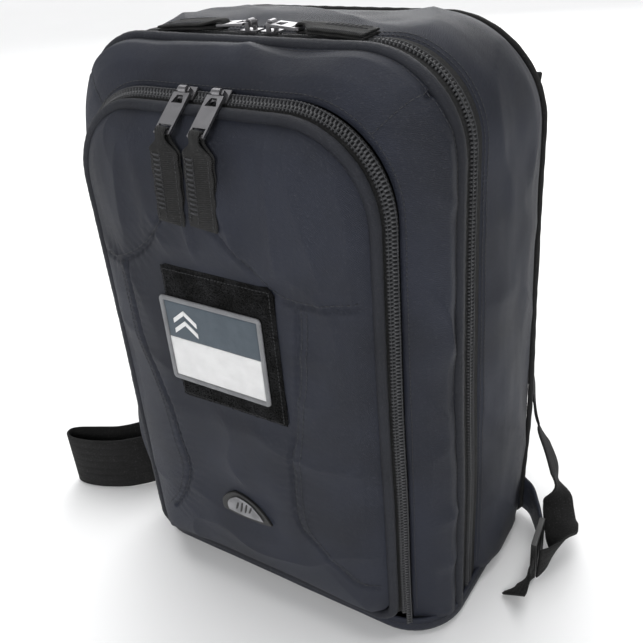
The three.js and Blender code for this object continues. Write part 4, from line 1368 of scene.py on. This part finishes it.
def crowned_strap(name, stations, width, thickness, material, body, slot, node):
    """A padded strap: full in the middle and thin where its two faces meet at the binding."""
    places = [vector(*p) for p, _ in stations]
    line = smooth_line(places, 4 * MM)
    rings = []
    rims = ([], [])
    for i, (point, along) in enumerate(zip(line, directions(line))):
        share = i / (len(line) - 1)
        across = Vector(stations[0][1]).normalized()
        across = (across - along * across.dot(along)).normalized()
        out = along.cross(across)
        half = 0.5 * (width[0] + (width[1] - width[0]) * share) * MM
        quilt = 1 - 0.22 * math.exp(-((share * 5 % 1 - 0.5) / 0.07) ** 2)
        end = min(1, min(share, 1 - share) / 0.035) ** 0.5
        ring = []
        for k in range(28):
            angle = TURN * k / 28
            a = math.copysign(abs(math.cos(angle)) ** 0.75, math.cos(angle))
            b = math.copysign(abs(math.sin(angle)) ** 0.9, math.sin(angle))
            dent = 0.25 * MM * noise.noise((point + across * a * half) * 50)
            ring.append(point + across * half * a * (0.9 + 0.1 * end)
                        + out * b * (0.5 * thickness * MM * quilt * (0.35 + 0.65 * end) + dent))
        rings.append(ring)
        for rim, sign in zip(rims, (1, -1)):
            rim.append(point + across * half * sign * (0.9 + 0.1 * end))
    piece = surface(name, rings, wrap=True, ends=True)
    attach(piece, material, body, slot, node)
    loop = rims[0] + list(reversed(rims[1])) + rims[0][:1]
    binding = tube(f"{name}_binding", smooth_line(loop, 3 * MM), 1.7 * MM, 8)
    attach(binding, BINDING, body, "piping")
    return line


PAD_LINE = [(54, 92.5, 330), (66, 97, 312), (80, 100.5, 290), (91, 102, 262), (97, 102.5, 232),
            (99, 102, 200),
            (99, 101, 160)]
WEB_RIGHT = [((98.5, 100.8, 159), (1, 0, 0)), ((98.5, 100.8, 151), (1, 0, 0)),
             ((112, 103, 132), (0.6, 0.75, 0.1)),
             ((124, 103, 110), (-0.25, 0.93, -0.2)), ((131, 100, 78), (-0.34, 0.8, -0.49)),
             ((142, 91, 65), (-0.08, 0.85, -0.5)), ((150, 88, 48), (-0.02, 0.85, -0.51)),
             ((154, 84, 38), (-0.2, 0.83, -0.5)), ((158, 78, 25), (0.75, 0.6, -0.3)),
             ((162, 70, 19.5), (0.87, 0.44, -0.25)), ((168.5, 56.5, 17), (0.82, 0.38, 0.4)),
             ((170.5, 42, 16), (0.4, 0.2, 0.88)), ((168, 28, 16), (0.2, 0.2, 0.9)),
             ((164.5, 19, 17), (0, 0, 1))]
WEB_LEFT = [((-98.5, 100.8, 159), (1, 0, 0)), ((-98.5, 100.8, 151), (1, 0, 0)),
            ((-104, 110, 133), (0.95, 0.1, 0.3)),
            ((-114, 124, 105), (0.8, 0.2, 0.55)), ((-126, 138, 70), (0.55, 0.1, 0.8)),
            ((-138, 148, 40), (0.3, -0.2, 0.93)), ((-147, 146, 20), (0.1, -0.1, 1)),
            ((-145, 135, 16), (0, 0, 1))]
TAIL_RIGHT = [((162, 15.8, 16), (0, 0, 1)), ((161.2, 9, 14.5), (0.2, 0, 1)), ((160, 3, 12), (0.5, 0.1, 0.8)),
              ((157, -9, 9.8), (0.78, 0.1, 0.62))]
TAIL_LEFT = [((-136, 132.6, 16), (0, 0, 1)), ((-129, 137, 15), (0, 0.1, 1)), ((-114, 139.5, 14), (0, 0.2, 1)),
             ((-92, 140, 13.5), (0, 0.3, 1))]
WING_RIGHT = [(128, 81.5, 21), (138, 76, 19.5), (147, 64, 18), (154.5, 51, 17.5)]
WING_LEFT = [(-126, 83.5, 21), (-133, 88, 19), (-137, 96.5, 17)]
BELT_LEFT = [(-112, 81.3, 59.5), (-118, 88.5, 59.5), (-130, 90.6, 59.5), (-140, 83.6, 58), (-146.5, 69, 54),
             (-150, 40, 45), (-151, 5, 34), (-156, -24, 27), (-172, -43, 26), (-190, -54, 26),
             (-208, -60, 26),
             (-221, -60, 26), (-225.5, -54, 26), (-221, -48, 26), (-206, -40, 26), (-188, -30, 26),
             (-174, -18, 28),
             (-167.5, -4, 30.5), (-166, 5, 31.2), (-166, 9.5, 31.2)]
BELT_RIGHT = [(112, 81.3, 59.5), (110, 92, 59.5), (101, 105, 57), (84, 114, 50), (66, 120, 36),
              (56, 121.5, 31.2),
              (48.8, 121.5, 31.2)]
HANDLE = [((-42, 83, 366), (1, 0, 0)), ((-41, 93, 361), (1, 0, 0.2)), ((-34, 101, 352), (0.7, 0, 0.7)),
          ((-18, 105, 345), (0.3, 0, 1)), ((0, 106, 343), (0, 0, 1)), ((18, 105, 345), (-0.3, 0, 1)),
          ((34, 101, 352), (-0.7, 0, 0.7)), ((41, 93, 361), (-1, 0, 0.2)), ((42, 83, 366), (-1, 0, 0))]


def on_edge(points):
    return [(point, (0, 0, 1)) for point in points]


def make_straps():
    for side, sign, web, tail in (("left", -1, WEB_LEFT, TAIL_LEFT), ("right", 1, WEB_RIGHT, TAIL_RIGHT)):
        body = f"strap_{side}"
        stations = [((sign * x, y, z), (sign, 0, 0)) for x, y, z in PAD_LINE]
        pad_line = crowned_strap(f"strap_pad_{side}_mesh", stations, (56, 46), 9.0, SPACER_MESH, body,
                                 "spacer_mesh", f"strap_pad_{side}")
        face = [((p.x / MM, p.y / MM + 4.6, p.z / MM), (sign, 0, 0)) for p in pad_line[2:-1:3]]
        runner = ribbon(f"strap_pad_{side}_webbing", face, 25 * MM, 1.3 * MM)
        attach(runner, WEBBING, body, "webbing")
        tree = surface_tree(runner)
        rows = []
        for offset in (-10.2, 10.2):
            rows.append([Vector((p.x + offset * MM, p.y + 5.4 * MM, p.z)) for p in pad_line[3:-2:3]])
        for height in (0.302, 0.246, 0.19):
            near = min(pad_line, key=lambda p: abs(p.z - height))
            for shift in (-1, 1):
                rows.append([near + Vector((a * MM, 5.4 * MM, shift * MM)) for a in (-10, 10)])
        attach(sewn_rows(f"strap_pad_{side}_stitching", tree, rows), THREAD, body, "webbing")
        lower = ribbon(f"strap_web_{side}_ribbon", web, 25 * MM, 1.6 * MM)
        attach(lower, WEBBING, None, "webbing", f"strap_web_{side}")
        vector(*web[-1][0])
        vector(*web[1][0])
        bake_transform(lower)
        attach(ribbon(f"strap_tail_{side}_ribbon", tail, 25 * MM, 1.6 * MM), WEBBING, f"adjuster_{side}",
               "webbing", f"strap_tail_{side}")
        rounded_copy(f"strap_adjuster_{side}", f"ladder_lock_{side}", PLASTIC, f"adjuster_{side}",
                     "buckle_plastic", 0.9, 4)
        points = WING_RIGHT if side == "right" else WING_LEFT
        wing = ribbon(f"corner_wing_{side}_cloth", on_edge(points), lambda t: (31 - 7 * t) * MM, 2.4 * MM)
        attach(wing, BAG_CLOTH, "pack", "fabric", f"corner_wing_{side}")
        middle = [vector(*p) for p in points]
        rows = [[p + Vector((0, 0, s * MM)) for p in middle] for s in (-8, -3, 3, 8)]
        attach(sewn_rows(f"corner_wing_{side}_stitching", surface_tree(wing), rows), THREAD, "pack", "fabric")
        hanger = [((sign * 106, 80.9, 333), (0, 0, 1)), ((sign * 113, 88, 333), (0, 0, 1)),
                  ((sign * 119, 99, 331), (0, 0, 1))]
        attach(ribbon(f"corner_hanger_{side}_loop", hanger, 13 * MM, 2.6 * MM), WEBBING, "pack", "webbing",
               f"corner_hanger_{side}")


def make_handle():
    strap = ribbon("grab_handle_webbing", HANDLE, lambda t: (18 - 5 * math.sin(math.pi * t) ** 2) * MM,
                   3.2 * MM)
    attach(strap, WEBBING, "grab_handle", "webbing", "grab_handle")
    grip = [(p, s) for p, s in HANDLE[2:7]]
    sleeve = ribbon("grab_handle_grip", grip, 15 * MM, 6.4 * MM)
    attach(sleeve, BINDING, "grab_handle", "webbing")
    tree = surface_tree(sleeve)
    rows = [[vector(x, y + 3.4, z + s) for (x, y, z), _ in grip] for s in (-4.5, 4.5)]
    attach(sewn_rows("grab_handle_stitching", tree, rows), THREAD, "grab_handle", "webbing")


def make_belt():
    left = ribbon("belt_left_webbing", on_edge(BELT_LEFT), 50 * MM, 1.7 * MM)
    attach(left, WEBBING, "belt_left", "webbing", "belt_web_left")
    right = ribbon("belt_right_webbing", on_edge(BELT_RIGHT), 50 * MM, 1.7 * MM)
    attach(right, WEBBING, "belt_right", "webbing", "belt_web_right")
    rounded_copy("buckle_plug", "buckle_plug_moulded", PLASTIC, "belt_left", "buckle_plastic", 1.3, 4)
    rounded_copy("buckle_socket", "buckle_socket_moulded", PLASTIC, "belt_right", "buckle_plastic", 1.6, 4)


# ------------------------------------------------------------------ back and inside

def quilted_pad(name, node, channels):
    """A back pad of spacer mesh over foam, sewn down across in channels."""
    low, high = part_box(node)
    centre = (low + high) / 2
    outline = ((high.x - low.x) / 2, low.z, high.z, 14 * MM, 14 * MM)
    height = high.y - low.y
    tops = [low.z + (high.z - low.z) * (i + 1) / (channels + 1) for i in range(channels)]

    def top(x, z, edge):
        rise = 1 - math.exp(-edge / (7 * MM))
        for channel in tops:
            rise *= 1 - 0.62 * math.exp(-((z - channel) / (3.2 * MM)) ** 2)
        soft = 0.3 * MM * noise.noise(Vector((x * 40, 0, z * 40)))
        return low.y + 0.4 * MM + (height - 0.5 * MM) * rise * 1.02 + soft * rise

    front = panel_grid(outline, 44, 110, top)
    rows = [[p + Vector((centre.x, 0, 0)) for p in row] for row in front]
    piece = surface(name, rows, inside=CORE)
    attach(piece, SPACER_MESH, "pack", "spacer_mesh", node)
    thicken(piece, 0.8 * MM)
    tree = surface_tree(piece)
    lines = [[Vector((centre.x + s * outline[0] * 0.9, high.y, z)) for s in (-1, 0, 1)] for z in tops]
    attach(sewn_rows(f"{name}_stitching", tree, lines), THREAD, "pack", "spacer_mesh")
    rim = []
    corner = 14 * MM
    x, z = outline[0] - corner, (high.z - low.z) / 2 - corner
    for corner_x, corner_z, start in ((x, z, 0), (-x, z, 1), (-x, -z, 2), (x, -z, 3)):
        for i in range(9):
            angle = 0.5 * math.pi * (start + i / 8)
            rim.append(Vector((centre.x + corner_x + corner * math.cos(angle), low.y + 0.9 * MM,
                               centre.z + corner_z + corner * math.sin(angle))))
    rim.append(rim[0].copy())
    attach(tube(f"{name}_binding", smooth_line(rim, 3 * MM), 1.3 * MM, 8), BINDING, "pack", "piping")


def make_back():
    for side in ("left", "right"):
        quilted_pad(f"back_pad_{side}_mesh", f"back_pad_{side}", 4)
    low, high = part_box("strap_yoke")
    stations = [((x, (low.y + high.y) / 2 / MM, 336 + 0.3 * math.sin(x)), (0, 0, 1)) for x in range(-87,
                                                                                                    88, 29)]
    yoke = ribbon("strap_yoke_webbing", stations, high.z - low.z, 2.3 * MM)
    attach(yoke, WEBBING, "pack", "webbing", "strap_yoke")
    tree = surface_tree(yoke)
    rows = [[Vector((x * MM, high.y, z)) for x in (-86, -40, 0, 40, 86)] for z in
            (low.z + 3 * MM, low.z + 6 * MM, high.z - 3 * MM, high.z - 6 * MM)]
    attach(sewn_rows("strap_yoke_stitching", tree, rows), THREAD, "pack", "webbing")


def make_inner_pocket():
    """A slip pocket with a gathered, elasticated mouth against the back of the main compartment."""
    low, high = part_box("inner_pocket")
    rows = []
    for i in range(61):
        share = i / 60
        z = low.z + (high.z - low.z) * share
        row = []
        for j in range(91):
            a = 2 * j / 90 - 1
            belly = (1 - a ** 4) * (0.55 + 0.45 * math.sin(math.pi * min(1, share * 0.9 + 0.1)))
            gather = 0.9 * MM * math.sin(j * 1.15) * max(0, share - 0.55) * 2
            foot = min(1, share / 0.12) ** 0.5
            y = high.y - 0.5 * MM - (high.y - low.y - 2 * MM) * belly * foot + gather * (1 - a ** 4)
            row.append(Vector((a * high.x, y, z)))
        rows.append(row)
    piece = surface("inner_slip_pocket", rows, inside=Vector((0, 0.2, 0.1)))
    attach(piece, LINING, "pack", "lining", "inner_pocket")
    thicken(piece, 1.0 * MM)
    hem = tube("inner_pocket_hem", rows[-1], 2.0 * MM, 8)
    attach(hem, BINDING, "pack", "lining")


def finish_frame_nodes():
    """CAD parts whose shape is right keep it and get a finish."""
    for node, material in (("lid_wall", LINING), ("frame_sheet", BOARD)):
        for material_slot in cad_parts[node].material_slots:
            material_slot.material = material


make_camera()
make_room()
make_rear_gusset()
make_lid_gusset()
make_base()
make_front_panel()
make_back_panel()
make_zips()
make_all_piping()
make_sliders()
make_loop_field()
make_patch()
make_badge()
make_straps()
make_handle()
make_belt()
make_back()
make_inner_pocket()
finish_frame_nodes()
